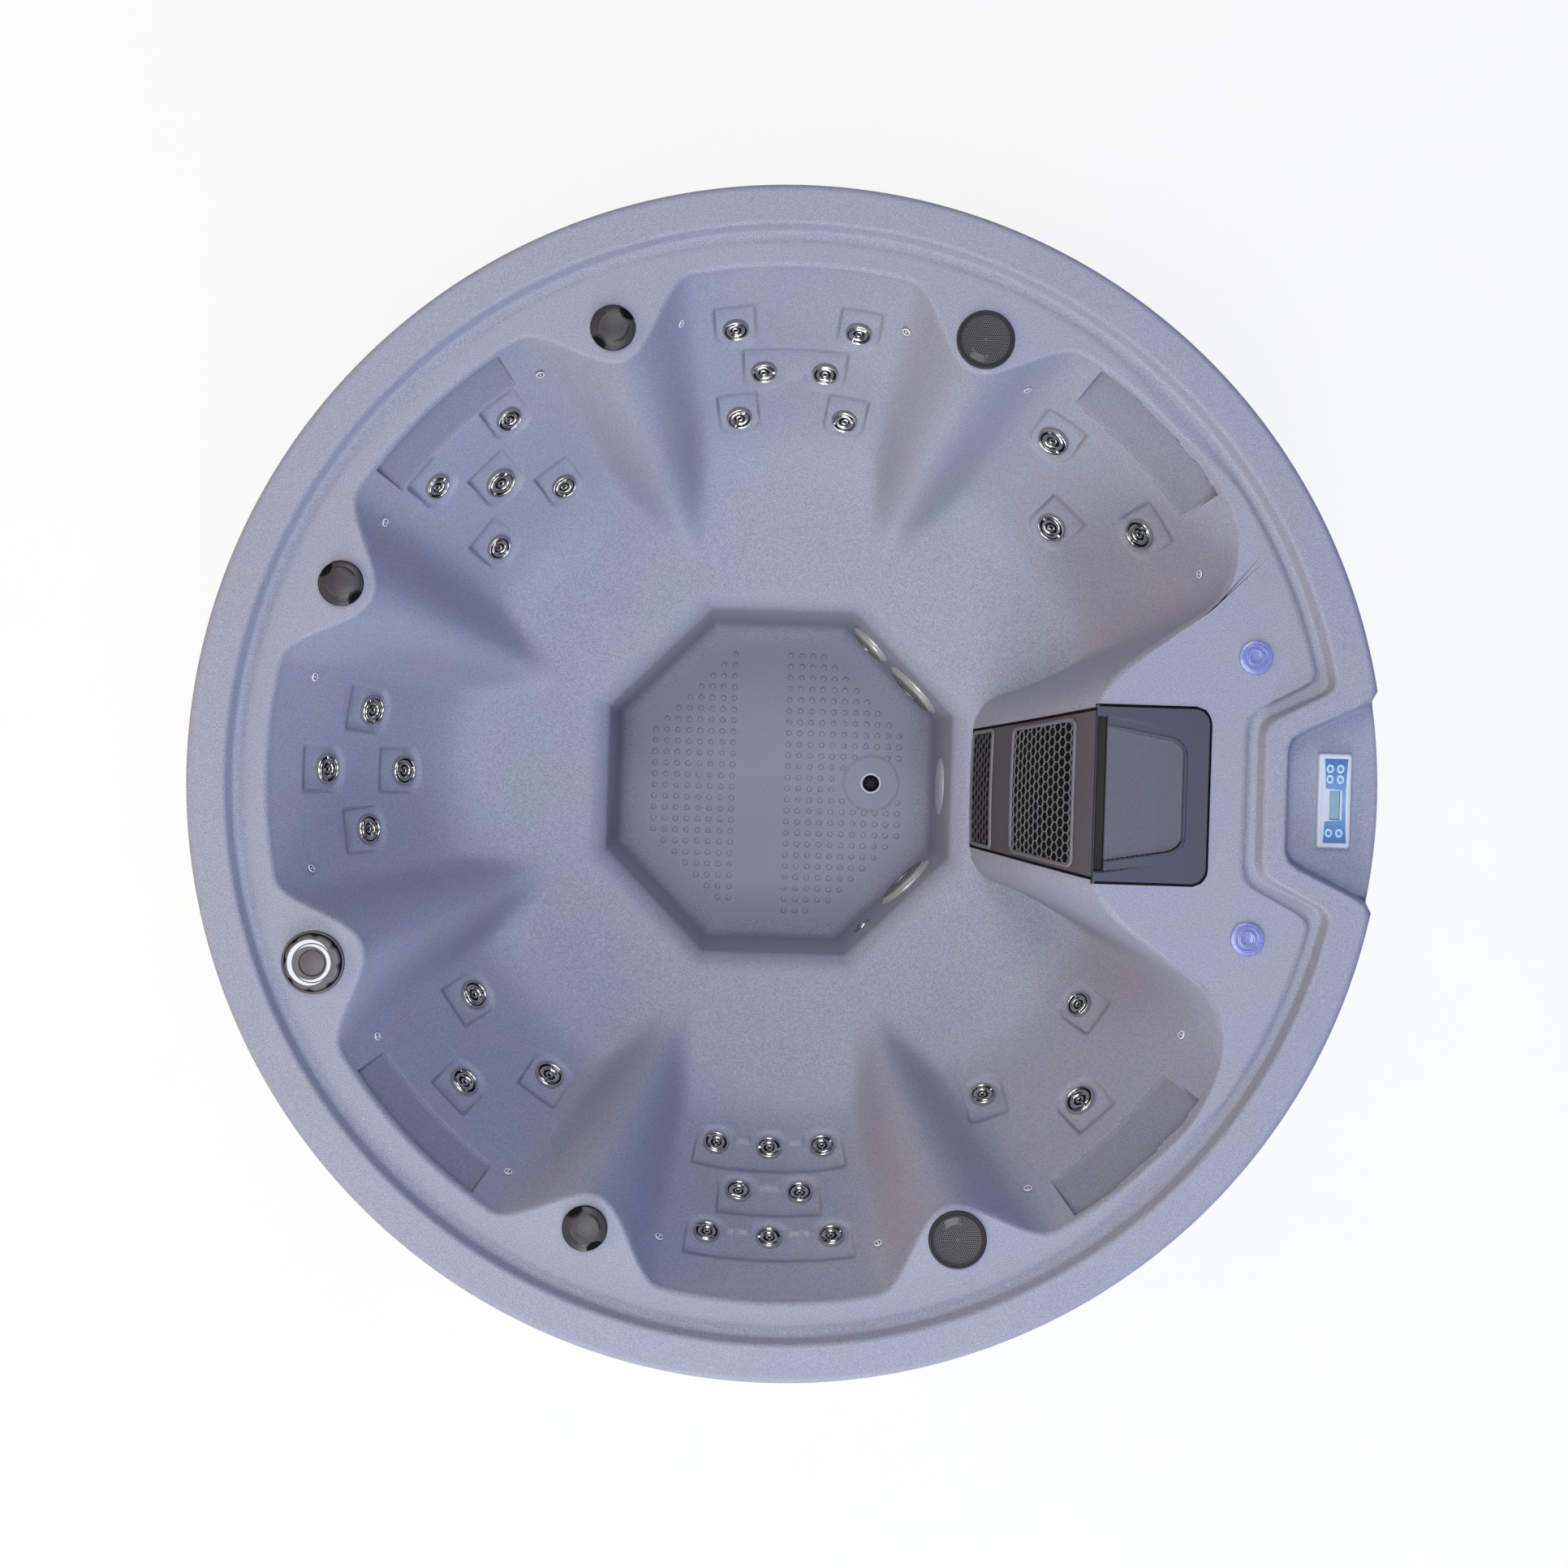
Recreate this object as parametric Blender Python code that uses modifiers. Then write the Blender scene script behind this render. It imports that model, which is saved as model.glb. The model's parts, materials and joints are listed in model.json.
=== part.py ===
"""Round hot tub with a moulded seven-seat shell, as separate named pieces.

Metres, +Z up, origin at the centre of the base. +X points to the control bay.
"""

import math

import bmesh
import bpy
from mathutils import Matrix, Vector
from mathutils.bvhtree import BVHTree

# Overall size
RIM_RADIUS = 1.000
TUB_HEIGHT = 0.880
SHELL_WALL = 0.012
SEAT_GAP = 0.0003
FIT_GAP = 0.0006
OVERRUN = 0.040

# Rim, groove and deck, from the outside in
LIP_DROP = 0.110
RIM_WIDTH = 0.065
RIM_EDGE = 0.012
GROOVE_WIDTH = 0.030
GROOVE_DEPTH = 0.030
GROOVE_SLOPE = 0.010
DECK_DROP = 0.022
DECK_WIDTH = 0.043
LIP_STEP = 0.007

# Seats: plan runs as shares of the rim's radius, depth as a share of the height
BACKREST_SHARE = 0.302
SEAT_SHARE = 0.250
PENINSULA_SHARE = 0.112
RIDGE_SHARE = 0.110
FRONT_SEAT_SHARE = 0.013
SEAT_DEPTH_SHARE = 0.4773
BASIN_EDGE = 0.014

# Footwell, its depth as a share of the height
FOOTWELL_DEPTH_SHARE = 0.4091
FOOTWELL_EDGE = 0.018
FOOTWELL_TAPER = 0.010
FOOTWELL_FILLET = 0.016

# Control bay in the rim
BAY_REACH_SHARE = 0.164
BAY_DEPTH = 0.060
BAY_INNER_WIDTH = 0.210
BAY_OUTER_ANGLE = math.radians(10.0)
BAY_FRAME = 0.038
BAY_WALL_RUN = 0.009

# Filter housing: plan sizes as shares of the rim's radius
HOUSING_SETBACK_SHARE = 0.036
FASCIA_RUN_SHARE = 0.169
FASCIA_FOOT_SHARE = 0.213
FASCIA_THICKNESS = 0.006
FASCIA_PROUD = 0.003
LID_LENGTH_SHARE = 0.196
LID_WIDTH_SHARE = 0.302
LID_OVERHANG = 0.0065
LID_THICKNESS = 0.018
LID_CORNER = 0.030
HOUSING_WALL = 0.004
HOUSING_SUMP = 0.040
PILLAR_MARGIN_SHARE = 0.030
CELL_PITCH = 0.0300
CELL_WEB = 0.0050

# Cartridge
CARTRIDGE_RADIUS = 0.066
CARTRIDGE_HEIGHT = 0.250
CARTRIDGE_CAP = 0.014

# Jets
JET_FACE_RADIUS = 0.023
MEDIUM_JET_FACE_RADIUS = 0.0265
LARGE_JET_FACE_RADIUS = 0.028
JET_FACE_HEIGHT = 0.006
JET_STEM_SHARE = 0.66
JET_STEM_LENGTH = 0.034
JET_BORE_GAP = 0.0020
POCKET_DEPTH = 0.0075
POCKET_LIP_DEPTH = 0.0025
POCKET_SIDE = 0.015
POCKET_ABOVE = 0.034
POCKET_BELOW = 0.013
POCKET_REACH = 0.022
POCKET_FLARE = 0.006

# Deck fittings
KNOB_RADIUS = 0.038
KNOB_HEIGHT = 0.016
DIVERTER_RADIUS = 0.053
DIVERTER_HEIGHT = 0.020
CAP_RADIUS = 0.029
CAP_HEIGHT = 0.007
SPEAKER_RADIUS = 0.049
SPEAKER_HEIGHT = 0.006
FITTING_STEM_RADIUS = 0.012
FITTING_STEM_LENGTH = 0.030
FITTING_PLACE_SHARE = 0.58
DIVERTER_PLACE_SHARE = 0.84

# Footwell fittings: covers as shares of half a footwell wall's width
DRAIN_RADIUS = 0.021
DRAIN_HEIGHT = 0.005
DRAIN_OFFSET_SHARE = 0.5935
LIGHT_SHARE = 0.4166
LIGHT_HEIGHT = 0.009
SUCTION_SHARE = 0.4595
SMALL_SUCTION_SHARE = 0.331
SUCTION_HEIGHT = 0.016

# Control panel
PANEL_LENGTH = 0.159
PANEL_WIDTH = 0.057
PANEL_HEIGHT = 0.012
PANEL_CORNER = 0.005
PANEL_OFFSET = 0.0755
KEY_LENGTH = 0.0155
KEY_WIDTH = 0.0125
KEY_PITCH = 0.0174
KEY_HEIGHT = 0.0040
KEY_WELL = 0.0030
KEY_TRAVEL = 0.0008
KEY_GAP = 0.0004
DISPLAY_LENGTH = 0.050
DISPLAY_WIDTH = 0.020
DISPLAY_DEPTH = 0.0010

# Cabinet
CABINET_INSET = 0.022
CABINET_WALL = 0.014
BASE_THICKNESS = 0.020
PEDESTAL_RADIUS = 0.250
FLUTE_RADIUS = 0.008
FLUTE_DEPTH = 0.005
FLUTE_MARGIN = 0.060
FLUTE_COUNT = 24
CABINET_STEPS = 48
HATCH_HALF_ANGLE = math.radians(14.0)
HATCH_BOTTOM = 0.070
HATCH_TOP_MARGIN = 0.100
NOTCH_MARGIN = 0.100

# Equipment pack behind the hatch
PACK_LENGTH = 0.480
PACK_DEPTH = 0.280
PACK_TRAY = 0.020
CONTROL_BOX_DEPTH = 0.090
CONTROL_BOX_LENGTH = 0.340
CONTROL_BOX_HEIGHT = 0.240
MOTOR_RADIUS = 0.075
MOTOR_LENGTH = 0.260
WET_END_RADIUS = 0.095
WET_END_LENGTH = 0.090
PACK_MARGIN = 0.040

SPOKES_PER_SECTOR = 8
SECTOR = math.radians(45.0)
SPOKES = 8 * SPOKES_PER_SECTOR

# Where the bay's corner and its mouth fall on the spokes, as shares of a sector
BAY_SPOKE_SHARES = (0.125, 0.25)

# How the rings round the bay widen, as shares of the step from ring to ring: half width and mouth
BAY_FRAME_SHARES = (0.55, 0.70)
BAY_GROOVE_SHARES = (0.53, 0.75)
BAY_SLOPE_SHARE = 0.5
BAY_FOOT_SHARE = 0.7

# Height of the rim's outer wall, as a share of the bay's depth below the rim
RIM_SIDE_SHARE = 0.25

# Sizes that follow from the shares
BACKREST_RUN = BACKREST_SHARE * RIM_RADIUS
SEAT_RUN = SEAT_SHARE * RIM_RADIUS
PENINSULA_REACH = PENINSULA_SHARE * RIM_RADIUS
RIDGE_REACH = RIDGE_SHARE * RIM_RADIUS
FRONT_SEAT_EXTRA = FRONT_SEAT_SHARE * RIM_RADIUS
SEAT_DEPTH = SEAT_DEPTH_SHARE * TUB_HEIGHT
FOOTWELL_DEPTH = FOOTWELL_DEPTH_SHARE * TUB_HEIGHT
BAY_REACH = BAY_REACH_SHARE * RIM_RADIUS
HOUSING_SETBACK = HOUSING_SETBACK_SHARE * RIM_RADIUS
PILLAR_MARGIN = PILLAR_MARGIN_SHARE * RIM_RADIUS
FASCIA_RUN = FASCIA_RUN_SHARE * RIM_RADIUS
FASCIA_FOOT_WIDTH = FASCIA_FOOT_SHARE * RIM_RADIUS
LID_LENGTH = LID_LENGTH_SHARE * RIM_RADIUS
LID_WIDTH = LID_WIDTH_SHARE * RIM_RADIUS
FASCIA_TOP_WIDTH = LID_WIDTH - 2.0 * LID_OVERHANG
HATCH_HEIGHT = TUB_HEIGHT - LIP_DROP - HATCH_BOTTOM - HATCH_TOP_MARGIN

# Radii and levels that follow from the sizes above
GROOVE_RADIUS = RIM_RADIUS - RIM_WIDTH
DECK_RADIUS = GROOVE_RADIUS - GROOVE_WIDTH
BASIN_RADIUS = DECK_RADIUS - DECK_WIDTH
TIP_RADIUS = BASIN_RADIUS - PENINSULA_REACH
FOOT_RADIUS = BASIN_RADIUS - BACKREST_RUN
RIDGE_RADIUS = FOOT_RADIUS - RIDGE_REACH
FOOTWELL_APOTHEM = FOOT_RADIUS - SEAT_RUN
RIM_Z = TUB_HEIGHT
DECK_Z = RIM_Z - DECK_DROP
BAY_Z = RIM_Z - BAY_DEPTH
SEAT_Z = RIM_Z - SEAT_DEPTH
FLOOR_Z = SEAT_Z - FOOTWELL_DEPTH
HOUSING_FRONT = FOOTWELL_APOTHEM + HOUSING_SETBACK
LID_FRONT = HOUSING_FRONT + FASCIA_RUN
LID_BACK = LID_FRONT + LID_LENGTH
HOUSING_BOTTOM = SEAT_Z - HOUSING_SUMP
LID_TOP = DECK_Z + FASCIA_PROUD
FITTING_RADIUS = TIP_RADIUS + FITTING_PLACE_SHARE * PENINSULA_REACH
DIVERTER_SPOT_RADIUS = TIP_RADIUS + DIVERTER_PLACE_SHARE * PENINSULA_REACH
FOOTWELL_WALL_HALF = FOOTWELL_APOTHEM * math.tan(0.5 * SECTOR)
DRAIN_OFFSET = DRAIN_OFFSET_SHARE * FOOTWELL_APOTHEM
LIGHT_RADIUS = LIGHT_SHARE * FOOTWELL_WALL_HALF
SUCTION_RADIUS = SUCTION_SHARE * FOOTWELL_WALL_HALF
SMALL_SUCTION_RADIUS = SMALL_SUCTION_SHARE * FOOTWELL_WALL_HALF
CABINET_RADIUS = RIM_RADIUS - SHELL_WALL - CABINET_INSET

# Share of the way from the basin's edge to the backrest's foot, in plan and in depth
BACKREST_PROFILE_SHARES = ((0.00, 0.035), (0.22, 0.30), (0.46, 0.58), (0.70, 0.83), (0.88, 0.96), (1.08, 1.0))
NOSE_LEVEL_SHARES = (0.0, 0.22, 0.44, 0.66, 0.84, 1.0)

# Filter pillar's outline, as shares of its margin, and where it joins the basin's edge
NOSE_EDGE_SHARES = (0.2, 1.0, 2.0)
NOSE_FOOT_SHARES = (0.13, 0.5, 1.0, 1.8)
NOSE_INWARD_SHARES = (0.5, 0.6)
EDGE_JOIN_SHARE = 0.52
EDGE_CORNER_SHARE = 0.55
FOOT_CORNER_SHARE = 0.62
SEAT_CURVE_SHARE = 0.8

# Neighbouring pockets are cut in separate sets, so that no cutter touches another of its set
POCKET_SETS = 4
BRIDGE_SETS = 3

# Jets: seat angle in degrees, then (lateral share of the half sector, height share of the backrest, size)
JET_PLACES_SHARES = {
    90: ((-0.345, 0.725, 0), (0.345, 0.725, 0), (-0.190, 0.515, 0), (0.190, 0.515, 0), (-0.365, 0.295, 0),
         (0.365, 0.295, 0)),
    45: ((-0.370, 0.640, 2), (0.370, 0.640, 2), (0.0, 0.330, 1)),
    -45: ((-0.450, 0.330, 0), (0.450, 0.330, 0), (0.0, 0.640, 2)),
    -90: ((-0.370, 0.295, 0), (0.0, 0.295, 0), (0.370, 0.295, 0), (-0.190, 0.515, 0), (0.190, 0.515, 0),
          (-0.350, 0.725, 0), (0.0, 0.725, 0), (0.350, 0.725, 0)),
    -135: ((-0.375, 0.330, 1), (0.375, 0.330, 1), (0.0, 0.640, 1)),
    180: ((0.0, 0.730, 1), (-0.365, 0.540, 1), (0.365, 0.540, 1), (0.0, 0.350, 1)),
    135: ((-0.275, 0.725, 0), (0.275, 0.725, 0), (0.0, 0.515, 2), (-0.310, 0.295, 0), (0.310, 0.295, 0)),
}
BRIDGE_PLACES_SHARES = {
    90: ((0.0, 0.515),),
    -90: ((-0.185, 0.295), (0.185, 0.295), (0.0, 0.515), (-0.175, 0.725), (0.175, 0.725)),
}

# Deck fittings' places, in degrees
AIR_KNOB_ANGLES = {"air_knob_left": 157.5, "air_knob_back": 112.5, "air_knob_front": -112.5}
DIVERTER_ANGLE = -157.5
SPEAKER_ANGLES = {"speaker_left": 67.5, "speaker_right": -67.5}
CAP_ANGLES = {"valve_cap_left": 16.8, "valve_cap_right": -16.8}

# Turned fittings, each as (radius, height) shares down to its edge
KNOB_SHARES = ((0.0, 1.0), (0.55, 0.94), (0.86, 0.70), (1.0, 0.25))
DIVERTER_SHARES = ((0.0, 0.85), (0.56, 0.85), (0.62, 1.0), (0.84, 1.0), (0.94, 0.35), (1.0, 0.25))
SPEAKER_SHARES = ((0.0, 0.6), (0.84, 0.6), (0.88, 1.0), (0.96, 1.0), (1.0, 0.5))
CAP_SHARES = ((0.0, 0.5), (0.50, 0.5), (0.58, 1.0), (0.80, 1.0), (1.0, 0.4))
LENS_SHARES = ((0.0, 1.0), (0.62, 0.8), (0.80, 0.5), (1.0, 0.4))
COVER_SHARES = ((0.0, 1.0), (0.45, 0.94), (0.80, 0.70), (1.0, 0.25))
DRAIN_SHARES = ((0.0, 0.4), (0.52, 0.4), (0.62, 1.0), (1.0, 0.6))
JET_EDGE_SHARE = 0.45

# Cuts in the knobs: radius, distance from the axis and height, as shares of the knob's own
KNOB_NOTCH_SHARES = (0.28, 1.08, 0.85)
SCALLOP_SHARES = (0.20, 1.06, 0.85)
SCALLOP_COUNT = 8

# Bar across a cap: half length, half width, bottom and top
CAP_BAR_SHARES = (0.55, 0.10, 0.25, 0.90)

# Footwell covers along their walls, as shares of half the wall's width
COVER_PLACES_SHARES = {"suction_left_large": (45.0, -0.38), "suction_left_small": (45.0, 0.52),
                       "suction_right_large": (-45.0, 0.35)}

# Lid: recess corners as shares of its length and width, then the slot's front, back, side and depth
LID_RECESS_SHARES = ((0.09, 0.37), (0.62, 0.32), (0.75, 0.25))
LID_RECESS_DEPTH_SHARE = 0.25
LID_SLOT_SHARES = (0.035, 0.11, 0.37, 0.60)

# Fascia: steps of its curve and the rows of its two grilles
FASCIA_STEPS = 9
UPPER_GRILLE_SHARES = (0.10, 0.55)
LOWER_GRILLE_SHARES = (0.60, 0.87)

# Cartridge pleats: count, then inner and outer radius as shares
PLEAT_COUNT = 14
PLEAT_SHARES = (0.80, 0.94)

# Pocket outline below the jet, and the reach of the four points that give a backrest's slope
POCKET_LOW_SHARES = (0.30, 0.50)
SLOPE_REACH_SHARE = 0.60

# Keys as (across, along) shares of the key pitch and of the panel's length
KEY_PLACES_SHARES = ((-0.5, 0.340), (0.5, 0.340), (-0.5, 0.229), (0.5, 0.229), (-0.5, -0.340), (0.5, -0.340))
DISPLAY_PLACE_SHARE = -0.06

# Bend of the filter pillar's front: corner of its curve, in plan and in depth
NOSE_BEND_SHARES = (0.576, 0.22)

# Basin edge from the filter pillar to the middle of a front seat, as shares of the basin's radius
PILLAR_EDGE_SHARES = ((0.832, 0.390), (0.857, 0.500), (0.807, 0.624))
PILLAR_FOOT_SHARES = ((0.528, 0.223), (0.609, 0.274), (0.594, 0.331), (0.531, 0.406))


def lerp(low, high, share):
    return low + (high - low) * share


def smooth(share):
    share = min(max(share, 0.0), 1.0)
    return share * share * (3.0 - 2.0 * share)


def polar(radius, angle):
    return Vector((radius * math.cos(angle), radius * math.sin(angle)))


def path_point(points, share):
    """Point on a smooth curve through evenly spaced points, share 0 to 1 of the way; the ends are doubled."""
    place = min(max(share, 0.0), 1.0) * (len(points) - 3)
    start = min(int(place), len(points) - 4)
    t = place - start
    a, b, c, d = (Vector(points[start + i]) for i in range(4))
    return 0.5 * ((2.0 * b) + (c - a) * t + (2.0 * a - 5.0 * b + 4.0 * c - d) * t ** 2
                  + (3.0 * b - a - 3.0 * c + d) * t ** 3)


def seat_offset(angle):
    """Angle from the middle of the nearest seat, as a share of the way to the ridge beside it."""
    nearest = round(angle / SECTOR) * SECTOR
    return abs(angle - nearest) / (0.5 * SECTOR)


def front_seat_weight(angle):
    return smooth(1.0 - abs(angle - SECTOR) / (0.5 * SECTOR))


def lobed_radius(angle, seat_radius, ridge_radius, corner_share):
    """Radius of the seats' scalloped outline: round behind each seat, drawn in at each ridge."""
    share = max(seat_offset(angle) - corner_share, 0.0) / (1.0 - corner_share)
    drawn_in = 0.5 - 0.5 * math.cos(math.pi * share ** SEAT_CURVE_SHARE)
    widened = seat_radius + FRONT_SEAT_EXTRA * front_seat_weight(angle)
    return lerp(widened, ridge_radius, drawn_in)


def basin_edge(angle):
    if angle >= SECTOR:
        return polar(lobed_radius(angle, BASIN_RADIUS, TIP_RADIUS, EDGE_CORNER_SHARE), angle)
    front, ahead, aside = (PILLAR_MARGIN * share for share in NOSE_EDGE_SHARES)
    nose = LID_FRONT + front
    half = 0.5 * FASCIA_TOP_WIDTH
    inward = NOSE_INWARD_SHARES[0] * half
    points = [(nose, -inward), (nose, 0.0), (nose, inward), (nose, half), (nose + ahead, half + aside)]
    edge = [(x * BASIN_RADIUS, y * BASIN_RADIUS) for x, y in PILLAR_EDGE_SHARES]
    middle = lerp(Vector(points[-1]), Vector(edge[0]), EDGE_JOIN_SHARE)
    points += [tuple(middle)] + edge
    seat = lobed_radius(SECTOR, BASIN_RADIUS, TIP_RADIUS, EDGE_CORNER_SHARE)
    points += [tuple(polar(seat, SECTOR)), tuple(polar(seat, SECTOR * 1.125))]
    return path_point(points, angle / SECTOR)


def basin_foot(angle):
    if angle >= SECTOR:
        return polar(lobed_radius(angle, FOOT_RADIUS, RIDGE_RADIUS, FOOT_CORNER_SHARE), angle)
    front, beside, ahead, aside = (PILLAR_MARGIN * share for share in NOSE_FOOT_SHARES)
    nose = HOUSING_FRONT + front
    half = 0.5 * FASCIA_FOOT_WIDTH
    inward = NOSE_INWARD_SHARES[1] * half
    points = [(nose, -inward), (nose, 0.0), (nose, inward), (nose, half + beside), (nose + ahead, half + aside)]
    points += [(x * BASIN_RADIUS, y * BASIN_RADIUS) for x, y in PILLAR_FOOT_SHARES]
    seat = lobed_radius(SECTOR, FOOT_RADIUS, RIDGE_RADIUS, FOOT_CORNER_SHARE)
    points += [tuple(polar(seat, SECTOR)), tuple(polar(seat, SECTOR * 1.125))]
    return path_point(points, angle / SECTOR)


def octagon(angle, apothem):
    off_middle = angle - round(angle / SECTOR) * SECTOR
    return polar(apothem / math.cos(off_middle), angle)


def bay_outline(angle, radius, reach_x, half_width, mouth_angle):
    """Circle that turns in round the control bay: straight front, two slanted sides."""
    if angle >= SECTOR:
        return polar(radius, angle)
    corner_place, mouth_place = BAY_SPOKE_SHARES
    share = angle / SECTOR
    mouth = polar(radius, mouth_angle)
    corner = Vector((reach_x, half_width))
    if share < corner_place:
        return Vector((reach_x, half_width * share / corner_place))
    if share < mouth_place:
        return corner.lerp(mouth, (share - corner_place) / (mouth_place - corner_place))
    return polar(radius, lerp(mouth_angle, SECTOR, (share - mouth_place) / (1.0 - mouth_place)))


def plain_circle(angle, radius):
    mouth_place = BAY_SPOKE_SHARES[1]
    if angle >= SECTOR:
        return polar(radius, angle)
    share = angle / SECTOR
    if share < mouth_place:
        return polar(radius, BAY_OUTER_ANGLE * share / mouth_place)
    return polar(radius, lerp(BAY_OUTER_ANGLE, SECTOR, (share - mouth_place) / (1.0 - mouth_place)))


def outline_ring(outline, height):
    """One closed ring of points: outline(angle) on 0 to 180 degrees, mirrored for the other half."""
    ring = []
    for index in range(SPOKES):
        folded = min(index, SPOKES - index)
        point = outline(folded * 2.0 * math.pi / SPOKES)
        side = 1.0 if index <= SPOKES // 2 else -1.0
        z = height(folded * 2.0 * math.pi / SPOKES) if callable(height) else height
        ring.append(Vector((point.x, side * point.y, z)))
    return ring


def nose_weight(angle):
    return 1.0 - smooth((angle / SECTOR - 0.25) / 0.25)


def nose_curve(share):
    """Shares (in plan, in depth) of a place on the pillar's curved front, top to bottom."""
    return tuple(2.0 * share * (1.0 - share) * bend + share * share for bend in NOSE_BEND_SHARES)


def wall_level(level):
    """Outline and height of one contour between the basin's edge and the backrests' foot."""
    back_plan, back_depth = BACKREST_PROFILE_SHARES[level]
    nose_plan, nose_depth = nose_curve(NOSE_LEVEL_SHARES[level])

    def outline(angle):
        plan = lerp(back_plan, nose_plan, nose_weight(angle))
        return basin_edge(angle).lerp(basin_foot(angle), plan)

    def height(angle):
        return lerp(DECK_Z, SEAT_Z, lerp(back_depth, nose_depth, nose_weight(angle)))

    return outline_ring(outline, height)


def deck_edge(angle):
    """Basin edge moved out onto the deck by the width of its rounding."""
    step = SECTOR / 40.0
    before = basin_edge(abs(angle - step))
    if angle < step:
        before.y = -before.y
    after = basin_edge(angle + step)
    along = (after - before).normalized()
    return basin_edge(angle) + BASIN_EDGE * Vector((along.y, -along.x))


def shell_rings():
    half = 0.5 * BAY_INNER_WIDTH
    bay_x = RIM_RADIUS - BAY_REACH
    frame_x = bay_x - BAY_FRAME
    frame_half = half + BAY_FRAME_SHARES[0] * BAY_FRAME
    frame_mouth = BAY_OUTER_ANGLE + BAY_FRAME_SHARES[1] * BAY_FRAME / RIM_RADIUS
    inner_x = frame_x - GROOVE_WIDTH
    inner_half = frame_half + BAY_GROOVE_SHARES[0] * GROOVE_WIDTH
    inner_mouth = frame_mouth + BAY_GROOVE_SHARES[1] * GROOVE_WIDTH / RIM_RADIUS
    foot_mouth = BAY_OUTER_ANGLE - BAY_FOOT_SHARE * BAY_WALL_RUN / RIM_RADIUS

    def wall_foot_height(angle):
        outside = angle / SECTOR >= BAY_SPOKE_SHARES[1]
        return RIM_Z - (RIM_SIDE_SHARE * BAY_DEPTH if outside else BAY_DEPTH)

    return [
        outline_ring(lambda a: plain_circle(a, RIM_RADIUS), RIM_Z - LIP_DROP),
        outline_ring(lambda a: plain_circle(a, RIM_RADIUS), BAY_Z),
        outline_ring(lambda a: bay_outline(a, RIM_RADIUS, bay_x + BAY_WALL_RUN, half - BAY_WALL_RUN,
                                           foot_mouth), wall_foot_height),
        outline_ring(lambda a: bay_outline(a, RIM_RADIUS - RIM_EDGE, bay_x, half, BAY_OUTER_ANGLE), RIM_Z),
        outline_ring(lambda a: bay_outline(a, GROOVE_RADIUS, frame_x, frame_half, frame_mouth), RIM_Z),
        outline_ring(lambda a: bay_outline(a, GROOVE_RADIUS - GROOVE_SLOPE, frame_x - GROOVE_SLOPE,
                                           frame_half + BAY_SLOPE_SHARE * GROOVE_SLOPE, frame_mouth),
                     RIM_Z - GROOVE_DEPTH),
        outline_ring(lambda a: bay_outline(a, DECK_RADIUS + LIP_STEP, inner_x + LIP_STEP,
                                           inner_half - BAY_SLOPE_SHARE * LIP_STEP, inner_mouth),
                     RIM_Z - GROOVE_DEPTH),
        outline_ring(lambda a: bay_outline(a, DECK_RADIUS, inner_x, inner_half, inner_mouth), DECK_Z),
        outline_ring(deck_edge, DECK_Z),
        *[wall_level(level) for level in range(len(BACKREST_PROFILE_SHARES))],
        outline_ring(lambda a: octagon(a, FOOTWELL_APOTHEM + FOOTWELL_EDGE), SEAT_Z),
        outline_ring(lambda a: octagon(a, FOOTWELL_APOTHEM), SEAT_Z - FOOTWELL_EDGE),
        outline_ring(lambda a: octagon(a, FOOTWELL_APOTHEM - FOOTWELL_TAPER), FLOOR_Z + FOOTWELL_FILLET),
        outline_ring(lambda a: octagon(a, FOOTWELL_APOTHEM - FOOTWELL_TAPER - FOOTWELL_FILLET), FLOOR_Z),
    ]


# Scene helpers

def clear_scene():
    for item in list(bpy.data.objects):
        bpy.data.objects.remove(item, do_unlink=True)


def make_collection(name):
    collection = bpy.data.collections.new(name)
    bpy.context.scene.collection.children.link(collection)
    return collection


def make_material(name, colour, roughness, metallic=0.0):
    material = bpy.data.materials.new(name)
    material.use_nodes = True
    shader = material.node_tree.nodes["Principled BSDF"]
    shader.inputs["Base Color"].default_value = (*colour, 1.0)
    shader.inputs["Roughness"].default_value = roughness
    shader.inputs["Metallic"].default_value = metallic
    return material


def place(mesh, name, material, collection, matrix=None):
    part = bpy.data.objects.new(name, mesh)
    collection.objects.link(part)
    if not mesh.materials:
        mesh.materials.append(material)
    part.matrix_world = matrix if matrix is not None else Matrix()
    return part


def place_cutter(mesh, name, matrix=None):
    cutter = bpy.data.objects.new(name, mesh)
    CUTTERS.objects.link(cutter)
    cutter.matrix_world = matrix if matrix is not None else Matrix()
    cutter.hide_render = True
    cutter.display_type = "WIRE"
    return cutter


def boolean(part, cutter, operation="DIFFERENCE"):
    modifier = part.modifiers.new(cutter.name, "BOOLEAN")
    modifier.operation = operation
    modifier.solver = "EXACT"
    modifier.object = cutter


def mesh_from(bm, name):
    bmesh.ops.recalc_face_normals(bm, faces=bm.faces[:])
    mesh = bpy.data.meshes.new(name)
    bm.to_mesh(mesh)
    bm.free()
    return mesh


def profile_mesh(name, profile):
    """Open profile of (radius, height) points for a Screw modifier about Z."""
    mesh = bpy.data.meshes.new(name)
    mesh.from_pydata([(radius, 0.0, z) for radius, z in profile],
                     [(i, i + 1) for i in range(len(profile) - 1)], [])
    return mesh


def spin_profile(part, steps):
    screw = part.modifiers.new("turn", "SCREW")
    screw.axis = "Z"
    screw.steps = steps
    screw.render_steps = steps
    screw.use_merge_vertices = True
    screw.merge_threshold = 0.00001
    screw.use_smooth_shade = True


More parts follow.
